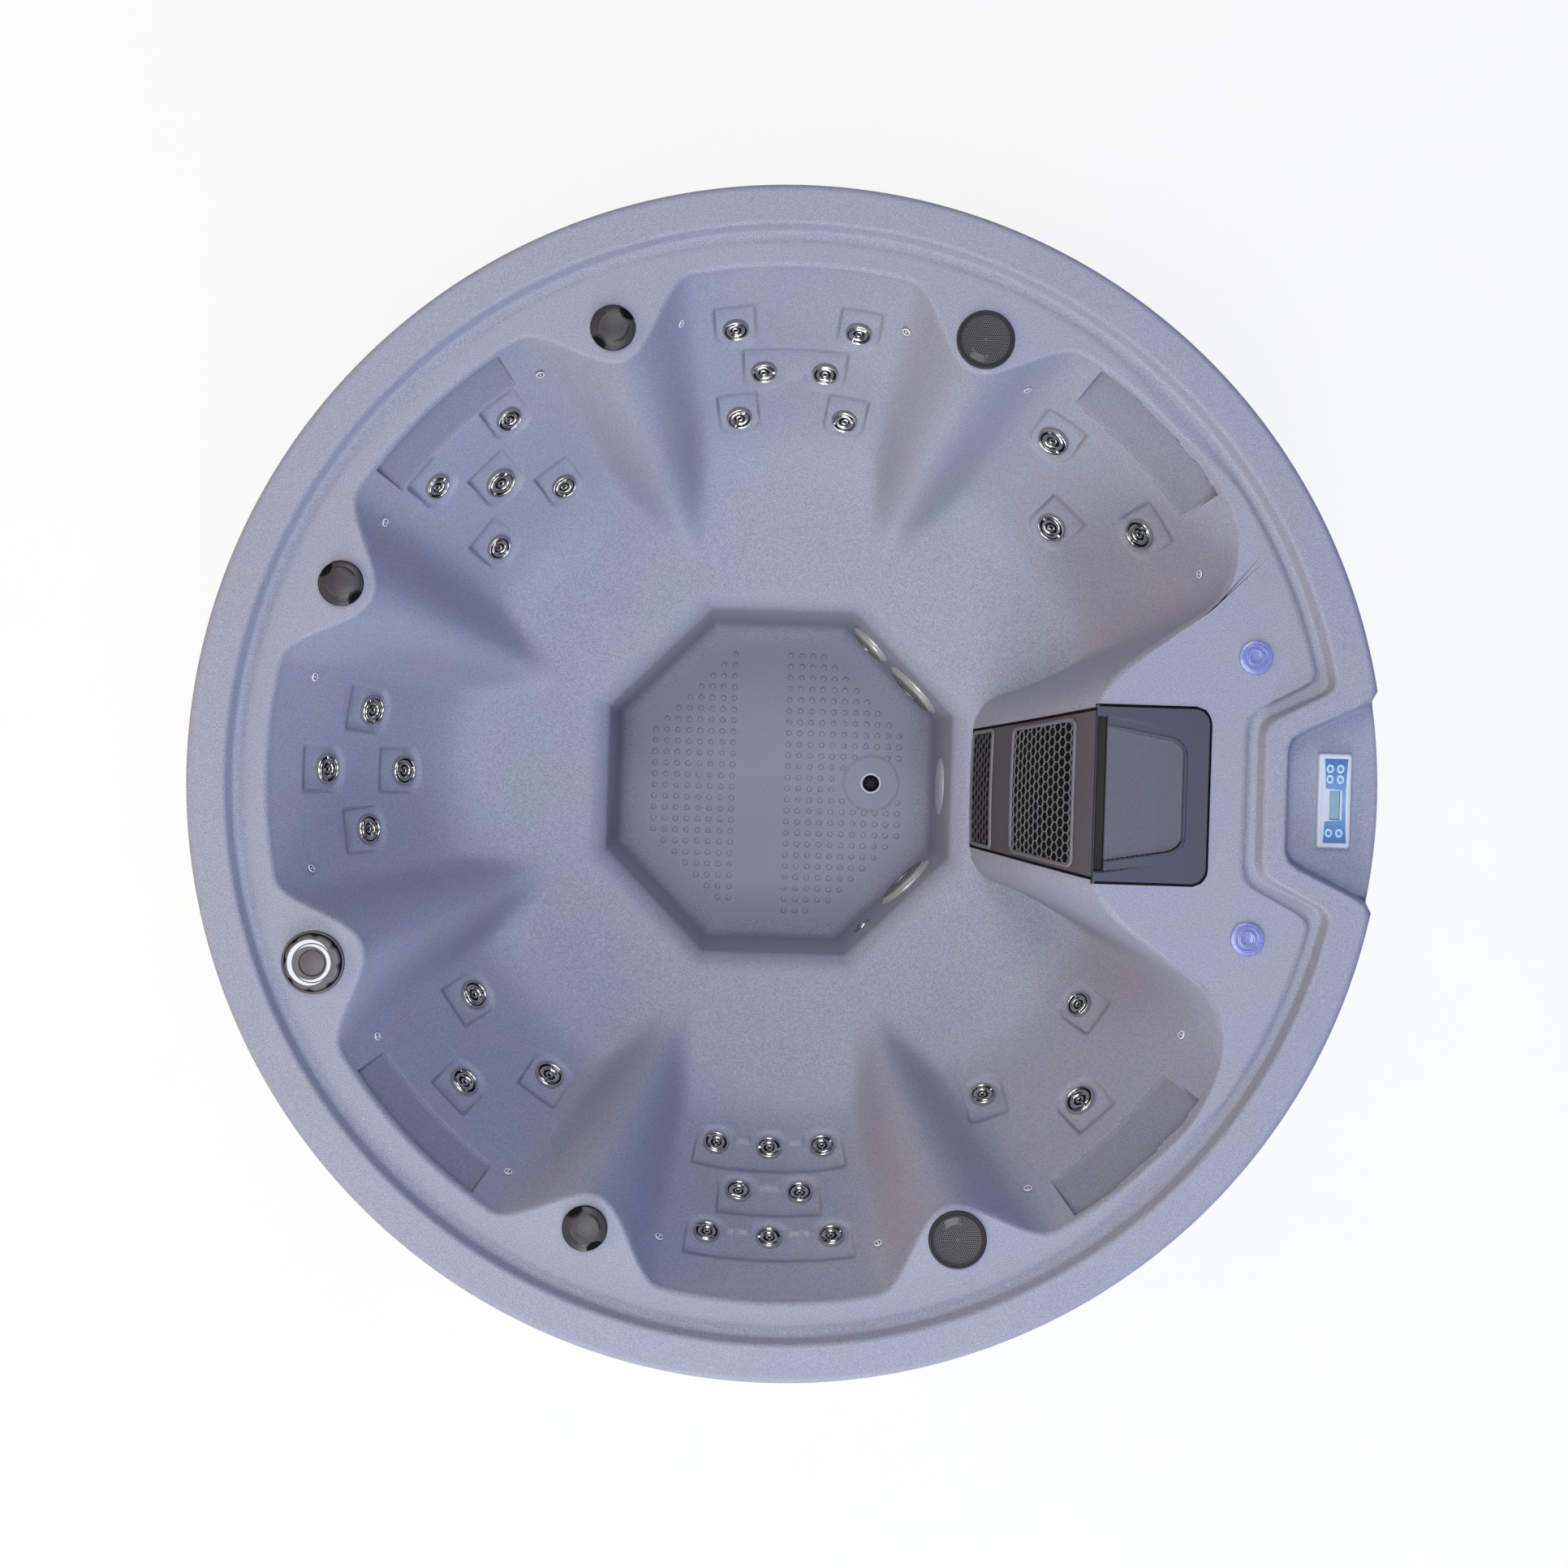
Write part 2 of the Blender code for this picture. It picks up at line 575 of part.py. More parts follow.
def plate_mesh(name, outlines, thickness):
    """Flat plate from closed outlines in XY, standing from z = 0 up to its thickness."""
    curve = bpy.data.curves.new(name, "CURVE")
    curve.dimensions = "2D"
    curve.fill_mode = "BOTH"
    curve.extrude = 0.5 * thickness
    for outline in outlines:
        spline = curve.splines.new("POLY")
        spline.points.add(len(outline) - 1)
        for point, (x, y) in zip(spline.points, outline):
            point.co = (x, y, 0.0, 1.0)
        spline.use_cyclic_u = True
    holder = bpy.data.objects.new(name, curve)
    CUTTERS.objects.link(holder)
    bpy.context.view_layer.update()
    evaluated = holder.evaluated_get(bpy.context.evaluated_depsgraph_get())
    mesh = bpy.data.meshes.new_from_object(evaluated)
    bpy.data.objects.remove(holder)
    bm = bmesh.new()
    bm.from_mesh(mesh)
    bpy.data.meshes.remove(mesh)
    bmesh.ops.remove_doubles(bm, verts=bm.verts[:], dist=0.00001)
    bmesh.ops.translate(bm, verts=bm.verts[:], vec=(0.0, 0.0, 0.5 * thickness))
    return mesh_from(bm, name)


def box_mesh(name, low, high):
    bm = bmesh.new()
    bmesh.ops.create_cube(bm, size=1.0)
    low = Vector(low)
    size = Vector(high) - low
    for vertex in bm.verts:
        share = vertex.co + Vector((0.5, 0.5, 0.5))
        vertex.co = low + Vector((share.x * size.x, share.y * size.y, share.z * size.z))
    return mesh_from(bm, name)


def frame_matrix(origin, normal, up=Vector((0.0, 0.0, 1.0))):
    """Frame with +Z along the normal and +Y as near to up as it can be."""
    z_axis = normal.normalized()
    x_axis = up.cross(z_axis).normalized()
    y_axis = z_axis.cross(x_axis)
    matrix = Matrix((x_axis, y_axis, z_axis)).transposed().to_4x4()
    matrix.translation = origin
    return matrix


# Shell

def loft(rings):
    bm = bmesh.new()
    rows = [[bm.verts.new(point) for point in ring] for ring in rings]
    for outer, inner in zip(rows, rows[1:]):
        for index in range(SPOKES):
            after = (index + 1) % SPOKES
            bm.faces.new((outer[index], outer[after], inner[after], inner[index]))
    bm.faces.new(rows[-1])
    bmesh.ops.recalc_face_normals(bm, faces=bm.faces[:])
    if rows[-1][0].link_faces[-1].normal.z < 0.0:
        bmesh.ops.reverse_faces(bm, faces=bm.faces[:])
    return bm


def surface_point(surface, x, y):
    hit = surface.ray_cast(Vector((x, y, RIM_Z + OVERRUN)), Vector((0.0, 0.0, -1.0)))
    if hit[0] is None:
        raise ValueError(f"nothing under the point {x:.3f}, {y:.3f}")
    return hit[0]


def backrest_frame(surface, seat_angle, turn, radius):
    """Frame on a backrest, from the plane through four points round the place."""
    reach = POCKET_SIDE + JET_FACE_RADIUS
    angle = seat_angle + turn
    spread = reach / radius
    rise = SLOPE_REACH_SHARE * reach
    left = surface_point(surface, *polar(radius, angle - spread))
    right = surface_point(surface, *polar(radius, angle + spread))
    low = surface_point(surface, *polar(radius - rise, angle))
    high = surface_point(surface, *polar(radius + rise, angle))
    middle = surface_point(surface, *polar(radius, angle))
    normal = (high - low).cross(left - right).normalized()
    if normal.z < 0.0:
        normal = -normal
    return frame_matrix(middle, normal)


JET_SIZES = (JET_FACE_RADIUS, MEDIUM_JET_FACE_RADIUS, LARGE_JET_FACE_RADIUS)


def backrest_place(surface, seat, lateral, height):
    return backrest_frame(surface, math.radians(seat), lateral * 0.5 * SECTOR,
                          lerp(FOOT_RADIUS, BASIN_RADIUS, height))


def pocket_tilt(frame, face_radius):
    """The pocket's floor: deeper at its top edge, so it leans a little flatter than the backrest."""
    length = 2.0 * face_radius + POCKET_ABOVE + POCKET_BELOW
    lean = (POCKET_DEPTH - POCKET_LIP_DEPTH) / length
    floor_at_jet = POCKET_LIP_DEPTH + lean * (face_radius + POCKET_BELOW)
    return frame @ Matrix.Translation((0.0, 0.0, -floor_at_jet)) @ Matrix.Rotation(-lean, 4, "X")


def pocket_corners(face_radius, spread):
    side = face_radius + POCKET_SIDE + spread
    top = face_radius + POCKET_ABOVE + spread
    low = face_radius + POCKET_BELOW + spread
    bend = POCKET_LOW_SHARES[0] * low
    foot = POCKET_LOW_SHARES[1] * side
    return ((side, top), (-side, top), (-side, -bend), (-foot, -low), (foot, -low), (side, -bend))


def add_pocket(bm, frame, face_radius):
    """Cutter with a flat floor, sides that open outwards, a square top and a narrowed bottom."""
    floor = bmesh.ops.create_circle(bm, cap_ends=True, segments=6, radius=face_radius)["verts"]
    for vertex, (x, y) in zip(floor, pocket_corners(face_radius, 0.0)):
        vertex.co = (x, y, 0.0)
    raised = bmesh.ops.extrude_face_region(bm, geom=[floor[0].link_faces[0]])["geom"]
    mouth = [item for item in raised if isinstance(item, bmesh.types.BMVert)]
    flare = 1.0 + POCKET_FLARE / (face_radius + POCKET_BELOW)
    for vertex in mouth:
        vertex.co = (vertex.co.x * flare, vertex.co.y * flare, POCKET_REACH)
    bmesh.ops.transform(bm, matrix=frame, verts=floor + mouth)


def make_shell(frames, bridges, deck_holes, floor_holes):
    shell_mesh = bpy.data.meshes.new("tub_shell")
    bm = loft(shell_rings())
    bm.to_mesh(shell_mesh)
    bm.free()
    shell = place(shell_mesh, "tub_shell", SHELL_MATERIAL, PARTS)
    thickness = shell.modifiers.new("wall", "SOLIDIFY")
    thickness.thickness = SHELL_WALL
    thickness.offset = -1.0
    thickness.use_even_offset = True

    opening = plate_mesh("housing_opening", [housing_outline(0.0)], TUB_HEIGHT)
    boolean(shell, place_cutter(opening, "housing_opening",
                                Matrix.Translation((0.0, 0.0, SEAT_Z - SHELL_WALL - OVERRUN))))

    sets = [bmesh.new() for _ in range(POCKET_SETS)]
    bores = bmesh.new()
    for frame, size, pocket_set in frames:
        add_pocket(sets[pocket_set], frame, JET_SIZES[size])
        bore = bmesh.ops.create_cone(bores, cap_ends=True, segments=8, depth=2.0 * OVERRUN,
                                     radius1=bore_radius(size), radius2=bore_radius(size))["verts"]
        bmesh.ops.transform(bores, matrix=frame, verts=bore)
    for hole in deck_holes + floor_holes:
        radius, spot = hole
        bore = bmesh.ops.create_cone(bores, cap_ends=True, segments=10, depth=2.0 * OVERRUN,
                                     radius1=radius, radius2=radius)["verts"]
        bmesh.ops.translate(bores, vec=spot, verts=bore)
    bridge_sets = [bmesh.new() for _ in range(BRIDGE_SETS)]
    for frame, bridge_set in bridges:
        add_pocket(bridge_sets[bridge_set], frame, JET_FACE_RADIUS)
    for number, pocket_set in enumerate(sets + bridge_sets, start=1):
        name = f"jet_pockets_{number}"
        boolean(shell, place_cutter(mesh_from(pocket_set, name), name))
    boolean(shell, place_cutter(mesh_from(bores, "jet_bores"), "jet_bores"))
    return shell


def bore_radius(size):
    return JET_SIZES[size] * JET_STEM_SHARE + JET_BORE_GAP


def jet_profile(face_radius):
    stem = face_radius * JET_STEM_SHARE
    edge = JET_EDGE_SHARE * JET_FACE_HEIGHT
    return ((0.0, JET_FACE_HEIGHT), (face_radius, edge), (face_radius, SEAT_GAP), (stem, SEAT_GAP),
            (stem, -JET_STEM_LENGTH), (0.0, -JET_STEM_LENGTH))


def make_jets(frames):
    meshes = []
    for size, radius in enumerate(JET_SIZES):
        mesh = profile_mesh(f"jet_profile_{size}", jet_profile(radius))
        mesh.materials.append(CHROME_MATERIAL)
        meshes.append(mesh)
    for number, (frame, size, _) in enumerate(frames, start=1):
        jet = place(meshes[size], f"jet_{number:02d}", CHROME_MATERIAL, PARTS, frame)
        spin_profile(jet, 8)


# Filter housing

def housing_outline(inset):
    """Plan of the filter housing: tapered front, straight sides, round back corners."""
    foot = 0.5 * FASCIA_FOOT_WIDTH - inset
    top = 0.5 * FASCIA_TOP_WIDTH - inset
    side = 0.5 * LID_WIDTH - inset
    back = LID_BACK - inset
    corner = LID_CORNER - inset
    half = [(HOUSING_FRONT + inset, foot), (LID_FRONT + inset, top), (LID_FRONT + inset, side)]
    for index in range(4):
        turn = 0.5 * math.pi * index / 3.0
        half.append((back - corner + corner * math.sin(turn), side - corner + corner * math.cos(turn)))
    return half + [(x, -y) for x, y in reversed(half)]


def fascia_curve(share, outset):
    """Point (x, z) and direction of the fascia's curved face, from the lid down to the seats' level."""
    plan, depth = nose_curve(share)
    point = Vector((lerp(LID_FRONT, HOUSING_FRONT, plan), lerp(LID_TOP, SEAT_Z, depth)))
    slope = [bend + (1.0 - 2.0 * bend) * share for bend in NOSE_BEND_SHARES]
    along = Vector((-slope[0] * FASCIA_RUN, slope[1] * (SEAT_Z - LID_TOP))).normalized()
    return point + outset * Vector((along.y, -along.x)), along


def fascia_profile(outer, inner):
    face = [tuple(fascia_curve(i / FASCIA_STEPS, outer)[0]) for i in range(FASCIA_STEPS + 1)]
    back = [tuple(fascia_curve(i / FASCIA_STEPS, inner)[0]) for i in range(FASCIA_STEPS + 1)]
    return face + back[::-1]


UPRIGHT = Matrix.Rotation(math.radians(90.0), 4, "X")


def side_extrusion(name, outline, width):
    """Plate from an outline in XZ, standing across the tub's axis by a width."""
    mesh = plate_mesh(name, [outline], width)
    mesh.transform(Matrix.Translation((0.0, 0.5 * width, 0.0)) @ UPRIGHT)
    return mesh


def arc_stations(start, end):
    """Shares along the fascia, spaced by the rows of the honeycomb, from the length of the curve."""
    count = 200
    stations = []
    travelled = 0.0
    previous = fascia_curve(start, 0.0)[0]
    row_pitch = CELL_PITCH * math.sqrt(0.75)
    for index in range(1, count + 1):
        share = lerp(start, end, index / count)
        point = fascia_curve(share, 0.0)[0]
        travelled += (point - previous).length
        previous = point
        if travelled >= row_pitch * (len(stations) + 0.5):
            stations.append(share)
    return stations[:-1]


def fascia_half_width(x):
    share = (x - HOUSING_FRONT) / (LID_FRONT - HOUSING_FRONT)
    return lerp(0.5 * FASCIA_FOOT_WIDTH, 0.5 * FASCIA_TOP_WIDTH, share)


def add_honeycomb(bm, shares):
    radius = (CELL_PITCH - CELL_WEB) / math.sqrt(3.0)
    for row, share in enumerate(arc_stations(*shares)):
        spot, along = fascia_curve(share, 0.0)
        room = fascia_half_width(spot.x) - CELL_PITCH
        offset = 0.5 * CELL_PITCH * (row % 2)
        count = int((room - offset) / CELL_PITCH)
        columns = [offset + CELL_PITCH * i for i in range(-count - (row % 2), count + 1)]
        face_normal = Vector((-along.y, 0.0, along.x))
        frame = frame_matrix(Vector((spot.x, 0.0, spot.y)), -face_normal)
        for y in columns:
            cell = bmesh.ops.create_cone(bm, cap_ends=True, segments=6, radius1=radius, radius2=radius,
                                         depth=4.0 * FASCIA_THICKNESS)["verts"]
            turn = Matrix.Rotation(math.radians(30.0), 4, "Z")
            bmesh.ops.transform(bm, matrix=Matrix.Translation((0.0, y, 0.0)) @ frame @ turn, verts=cell)


def make_filter():
    standing = Matrix.Translation((0.0, 0.0, HOUSING_BOTTOM))
    outer_height = LID_TOP - HOUSING_BOTTOM
    housing = place(plate_mesh("filter_housing", [housing_outline(FIT_GAP)], outer_height - LID_THICKNESS),
                    "filter_housing", DARK_MATERIAL, PARTS, standing)
    well = plate_mesh("filter_well", [housing_outline(FIT_GAP + HOUSING_WALL)], outer_height)
    boolean(housing, place_cutter(well, "filter_well",
                                  Matrix.Translation((0.0, 0.0, HOUSING_BOTTOM + HOUSING_WALL))))
    front = [tuple(fascia_curve(i / FASCIA_STEPS, -FASCIA_THICKNESS - SEAT_GAP)[0])
             for i in range(FASCIA_STEPS + 1)]
    front += [(HOUSING_FRONT - OVERRUN, front[-1][1]), (HOUSING_FRONT - OVERRUN, TUB_HEIGHT),
              (front[0][0], TUB_HEIGHT)]
    boolean(housing, place_cutter(side_extrusion("fascia_seat", front, LID_WIDTH + OVERRUN), "fascia_seat"))

    fascia = place(side_extrusion("filter_fascia", fascia_profile(0.0, -FASCIA_THICKNESS), LID_WIDTH),
                   "filter_fascia", DARK_MATERIAL, PARTS)
    foot = 0.5 * FASCIA_FOOT_WIDTH - FIT_GAP
    top = 0.5 * FASCIA_TOP_WIDTH - FIT_GAP
    sides = [(HOUSING_FRONT + FIT_GAP, foot), (LID_FRONT, top), (LID_FRONT, -top), (HOUSING_FRONT + FIT_GAP, -foot)]
    trim = plate_mesh("fascia_trim", [sides], TUB_HEIGHT)
    boolean(fascia, place_cutter(trim, "fascia_trim"), "INTERSECT")
    cells = bmesh.new()
    add_honeycomb(cells, UPPER_GRILLE_SHARES)
    add_honeycomb(cells, LOWER_GRILLE_SHARES)
    boolean(fascia, place_cutter(mesh_from(cells, "grille_cells"), "grille_cells"))

    lid_outline = [(x, y) for x, y in housing_outline(FIT_GAP) if x > LID_FRONT + FIT_GAP]
    lid_front = LID_FRONT + 2.0 * FIT_GAP
    side = 0.5 * LID_WIDTH - FIT_GAP
    lid_outline = [(lid_front, side)] + lid_outline + [(lid_front, -side)]
    pivot = Matrix.Translation((LID_BACK - FIT_GAP, 0.0, LID_TOP))
    lid_mesh = plate_mesh("filter_lid", [lid_outline], LID_THICKNESS - SEAT_GAP)
    lid_mesh.transform(Matrix.Translation((FIT_GAP - LID_BACK, 0.0, SEAT_GAP - LID_THICKNESS)))
    lid = place(lid_mesh, "filter_lid", DARK_MATERIAL, PARTS, pivot)
    panel = [(lid_front + along * LID_LENGTH, across * LID_WIDTH) for along, across in LID_RECESS_SHARES]
    panel += [(x, -y) for x, y in reversed(panel)]
    recess_depth = LID_RECESS_DEPTH_SHARE * LID_THICKNESS
    boolean(lid, place_cutter(plate_mesh("lid_recess", [panel], LID_THICKNESS), "lid_recess",
                              Matrix.Translation((0.0, 0.0, LID_TOP - recess_depth))))
    slot_front, slot_back, slot_side, slot_depth = LID_SLOT_SHARES
    grip_side = slot_side * LID_WIDTH
    grip = box_mesh("finger_slot",
                    (lid_front + slot_front * LID_LENGTH, -grip_side, LID_TOP - slot_depth * LID_THICKNESS),
                    (lid_front + slot_back * LID_LENGTH, grip_side, LID_TOP + LID_THICKNESS))
    boolean(lid, place_cutter(grip, "finger_slot"))

    standing_z = HOUSING_BOTTOM + HOUSING_WALL + SEAT_GAP
    cartridge_x = 0.5 * (LID_FRONT + LID_BACK)
    star = []
    for index in range(2 * PLEAT_COUNT):
        star.append(tuple(polar(CARTRIDGE_RADIUS * PLEAT_SHARES[index % 2], math.pi * index / PLEAT_COUNT)))
    cartridge = place(plate_mesh("filter_cartridge", [star], CARTRIDGE_HEIGHT - CARTRIDGE_CAP),
                      "filter_cartridge", PAPER_MATERIAL, PARTS,
                      Matrix.Translation((cartridge_x, 0.0, standing_z + 0.5 * CARTRIDGE_CAP)))
    for name, base in (("cartridge_foot", 0.0), ("cartridge_head", CARTRIDGE_HEIGHT - CARTRIDGE_CAP)):
        disc = [tuple(polar(CARTRIDGE_RADIUS, 2.0 * math.pi * i / 16)) for i in range(16)]
        boolean(cartridge, place_cutter(plate_mesh(name, [disc], CARTRIDGE_CAP), name,
                                        Matrix.Translation((cartridge_x, 0.0, standing_z + base))), "UNION")


# Cabinet

def cabinet_arc(radius, half_angle):
    """Points on the cabinet's faceted wall between plus and minus an angle."""
    step = 2.0 * math.pi / CABINET_STEPS
    inner = int(half_angle / step)
    flat = radius * math.cos(0.5 * step)
    middle = (inner + 0.5) * step
    end = polar(flat / math.cos(half_angle - middle), half_angle)
    points = [tuple(polar(radius, step * i)) for i in range(-inner, inner + 1)]
    return [(end.x, -end.y)] + points + [(end.x, end.y)]


def make_cabinet():
    outer = CABINET_RADIUS
    inner = outer - CABINET_WALL
    wall_top = RIM_Z - SHELL_WALL - SEAT_GAP
    pedestal_top = FLOOR_Z - SHELL_WALL - SEAT_GAP
    profile = ((0.0, pedestal_top), (PEDESTAL_RADIUS, pedestal_top), (PEDESTAL_RADIUS, BASE_THICKNESS),
               (inner, BASE_THICKNESS), (inner, wall_top), (outer, wall_top), (outer, 0.0), (0.0, 0.0))
    mesh = profile_mesh("cabinet", profile)
    mesh.materials.append(CABINET_MATERIAL)
    cabinet = place(mesh, "cabinet", CABINET_MATERIAL, PARTS)
    spin_profile(cabinet, CABINET_STEPS)

    notch = RIM_RADIUS * math.sin(BAY_OUTER_ANGLE) + SHELL_WALL + NOTCH_MARGIN
    boolean(cabinet, place_cutter(box_mesh("bay_notch", (inner - 2.0 * OVERRUN, -notch, BAY_Z - SHELL_WALL - SEAT_GAP),
                                           (outer + OVERRUN, notch, RIM_Z)), "bay_notch"))
    opening = cabinet_arc(outer + OVERRUN, HATCH_HALF_ANGLE)
    opening += cabinet_arc(inner - OVERRUN, HATCH_HALF_ANGLE)[::-1]
    boolean(cabinet, place_cutter(plate_mesh("hatch_opening", [opening], HATCH_HEIGHT), "hatch_opening",
                                  Matrix.Translation((0.0, 0.0, HATCH_BOTTOM))))
    hatch_angle = HATCH_HALF_ANGLE - FIT_GAP / outer
    hatch_outline = cabinet_arc(outer, hatch_angle) + cabinet_arc(inner, hatch_angle)[::-1]
    hatch = place(plate_mesh("access_panel", [hatch_outline], HATCH_HEIGHT - 2.0 * FIT_GAP), "access_panel",
                  CABINET_MATERIAL, PARTS, Matrix.Translation((0.0, 0.0, HATCH_BOTTOM + FIT_GAP)))

    flutes = bmesh.new()
    flute_low = HATCH_BOTTOM + FLUTE_MARGIN
    flute_high = RIM_Z - LIP_DROP - FLUTE_MARGIN
    centre = outer * math.cos(math.pi / CABINET_STEPS) + FLUTE_RADIUS - FLUTE_DEPTH
    for index in range(FLUTE_COUNT):
        angle = 2.0 * math.pi * (index + 0.5) / FLUTE_COUNT
        top = min(flute_high, HATCH_BOTTOM + HATCH_HEIGHT - FLUTE_MARGIN) if abs(
            math.sin(0.5 * angle)) < math.sin(0.5 * HATCH_HALF_ANGLE) else flute_high
        flute = bmesh.ops.create_cone(flutes, cap_ends=True, segments=8, radius1=FLUTE_RADIUS,
                                      radius2=FLUTE_RADIUS, depth=top - flute_low)["verts"]
        spot = polar(centre, angle)
        bmesh.ops.translate(flutes, verts=flute, vec=(spot.x, spot.y, 0.5 * (top + flute_low)))
    cutter = place_cutter(mesh_from(flutes, "flutes"), "flutes")
    boolean(cabinet, cutter)
    boolean(hatch, cutter)


def make_equipment():
    high_x = CABINET_RADIUS - CABINET_WALL - PACK_MARGIN
    low_x = high_x - PACK_DEPTH
    ground = BASE_THICKNESS + SEAT_GAP
    deck = ground + PACK_TRAY
    pack = place(box_mesh("equipment_pack", (low_x, -0.5 * PACK_LENGTH, ground),
                          (high_x, 0.5 * PACK_LENGTH, deck)), "equipment_pack", PUMP_MATERIAL, PARTS)
    overlap = 0.5 * PACK_TRAY
    box = box_mesh("control_box", (high_x - CONTROL_BOX_DEPTH, -0.5 * CONTROL_BOX_LENGTH, deck - overlap),
                   (high_x - overlap, 0.5 * CONTROL_BOX_LENGTH, deck + CONTROL_BOX_HEIGHT))
    boolean(pack, place_cutter(box, "control_box"), "UNION")
    axis_x = low_x + WET_END_RADIUS
    axis_z = deck + WET_END_RADIUS - overlap
    along = Matrix.Translation((axis_x, 0.0, axis_z)) @ UPRIGHT
    pump = bmesh.new()
    start = -0.5 * PACK_LENGTH + overlap
    bmesh.ops.create_cone(pump, cap_ends=True, segments=16, radius1=WET_END_RADIUS, radius2=WET_END_RADIUS,
                          depth=WET_END_LENGTH, matrix=Matrix.Translation((0.0, 0.0, start + 0.5 * WET_END_LENGTH)))
    boolean(pack, place_cutter(mesh_from(pump, "pump_wet_end"), "pump_wet_end", along), "UNION")
    motor = bmesh.new()
    motor_start = start + WET_END_LENGTH - overlap
    bmesh.ops.create_cone(motor, cap_ends=True, segments=16, radius1=MOTOR_RADIUS, radius2=MOTOR_RADIUS,
                          depth=MOTOR_LENGTH, matrix=Matrix.Translation((0.0, 0.0, motor_start + 0.5 * MOTOR_LENGTH)))
    boolean(pack, place_cutter(mesh_from(motor, "pump_motor"), "pump_motor", along), "UNION")


# Fittings

def seated(shares, radius, height):
    """Profile of a turned fitting, from shares of its radius and height, down to its seat."""
    return tuple((out * radius, up * height) for out, up in shares) + ((radius, SEAT_GAP),)


def flat_backed(profile):
    return profile + ((0.0, SEAT_GAP),)


def stemmed(profile, stem_length=FITTING_STEM_LENGTH):
    """Add a stem through the shell to a fitting's profile that ends at its seat."""
    return profile + ((FITTING_STEM_RADIUS, SEAT_GAP), (FITTING_STEM_RADIUS, -stem_length), (0.0, -stem_length))


def turned_part(name, profile, steps, material, matrix):
    mesh = profile_mesh(name, profile)
    mesh.materials.append(material)
    part = place(mesh, name, material, PARTS, matrix)
    spin_profile(part, steps)
    return part


def deck_spot(degrees, radius):
    spot = polar(radius, math.radians(degrees))
    return Vector((spot.x, spot.y, DECK_Z))


def turning_spots():
    spots = [deck_spot(angle, FITTING_RADIUS) for angle in AIR_KNOB_ANGLES.values()]
    spots.append(deck_spot(DIVERTER_ANGLE, DIVERTER_SPOT_RADIUS))
    spots += [deck_spot(angle, FITTING_RADIUS) for angle in CAP_ANGLES.values()]
    return [(FITTING_STEM_RADIUS + JET_BORE_GAP, spot) for spot in spots]


def drain_spot():
    return Vector((DRAIN_OFFSET, 0.0, FLOOR_Z))


def make_deck_fittings():
    knob = stemmed(seated(KNOB_SHARES, KNOB_RADIUS, KNOB_HEIGHT))
    notch_radius, notch_distance, notch_height = KNOB_NOTCH_SHARES
    for name, degrees in AIR_KNOB_ANGLES.items():
        spot = deck_spot(degrees, FITTING_RADIUS)
        part = turned_part(name, knob, 16, KNOB_MATERIAL, Matrix.Translation(spot))
        notches = bmesh.new()
        for side in (-1.0, 1.0):
            spot_in_knob = (side * notch_distance * KNOB_RADIUS, 0.0, notch_height * KNOB_HEIGHT)
            bmesh.ops.create_cone(notches, cap_ends=True, segments=10, radius1=notch_radius * KNOB_RADIUS,
                                  radius2=notch_radius * KNOB_RADIUS, depth=KNOB_HEIGHT,
                                  matrix=Matrix.Translation(spot_in_knob))
        turn = Matrix.Rotation(math.radians(degrees), 4, "Z")
        boolean(part, place_cutter(mesh_from(notches, name + "_notches"), name + "_notches",
                                   Matrix.Translation(spot) @ turn))

    diverter = stemmed(seated(DIVERTER_SHARES, DIVERTER_RADIUS, DIVERTER_HEIGHT))
    spot = deck_spot(DIVERTER_ANGLE, DIVERTER_SPOT_RADIUS)
    handle = turned_part("diverter_handle", diverter, 24, KNOB_MATERIAL, Matrix.Translation(spot))
    scallops = bmesh.new()
    scallop_radius, scallop_distance, scallop_height = SCALLOP_SHARES
    for index in range(SCALLOP_COUNT):
        around = polar(scallop_distance * DIVERTER_RADIUS, 2.0 * math.pi * index / SCALLOP_COUNT)
        lifted = Matrix.Translation((around.x, around.y, scallop_height * DIVERTER_HEIGHT))
        bmesh.ops.create_cone(scallops, cap_ends=True, segments=8, radius1=scallop_radius * DIVERTER_RADIUS,
                              radius2=scallop_radius * DIVERTER_RADIUS, depth=DIVERTER_HEIGHT, matrix=lifted)
    boolean(handle, place_cutter(mesh_from(scallops, "diverter_scallops"), "diverter_scallops",
                                 Matrix.Translation(spot)))

    speaker = flat_backed(seated(SPEAKER_SHARES, SPEAKER_RADIUS, SPEAKER_HEIGHT))
    for name, degrees in SPEAKER_ANGLES.items():
        turned_part(name, speaker, 16, DARK_MATERIAL, Matrix.Translation(deck_spot(degrees, FITTING_RADIUS)))

    cap = stemmed(seated(CAP_SHARES, CAP_RADIUS, CAP_HEIGHT))
    bar_length, bar_width, bar_low, bar_high = CAP_BAR_SHARES
    for name, degrees in CAP_ANGLES.items():
        spot = deck_spot(degrees, FITTING_RADIUS)
        part = turned_part(name, cap, 16, CAP_MATERIAL, Matrix.Translation(spot))
        bar = box_mesh(name + "_bar", (-bar_length * CAP_RADIUS, -bar_width * CAP_RADIUS, bar_low * CAP_HEIGHT),
                       (bar_length * CAP_RADIUS, bar_width * CAP_RADIUS, bar_high * CAP_HEIGHT))
        boolean(part, place_cutter(bar, name + "_bar", Matrix.Translation(spot)), "UNION")


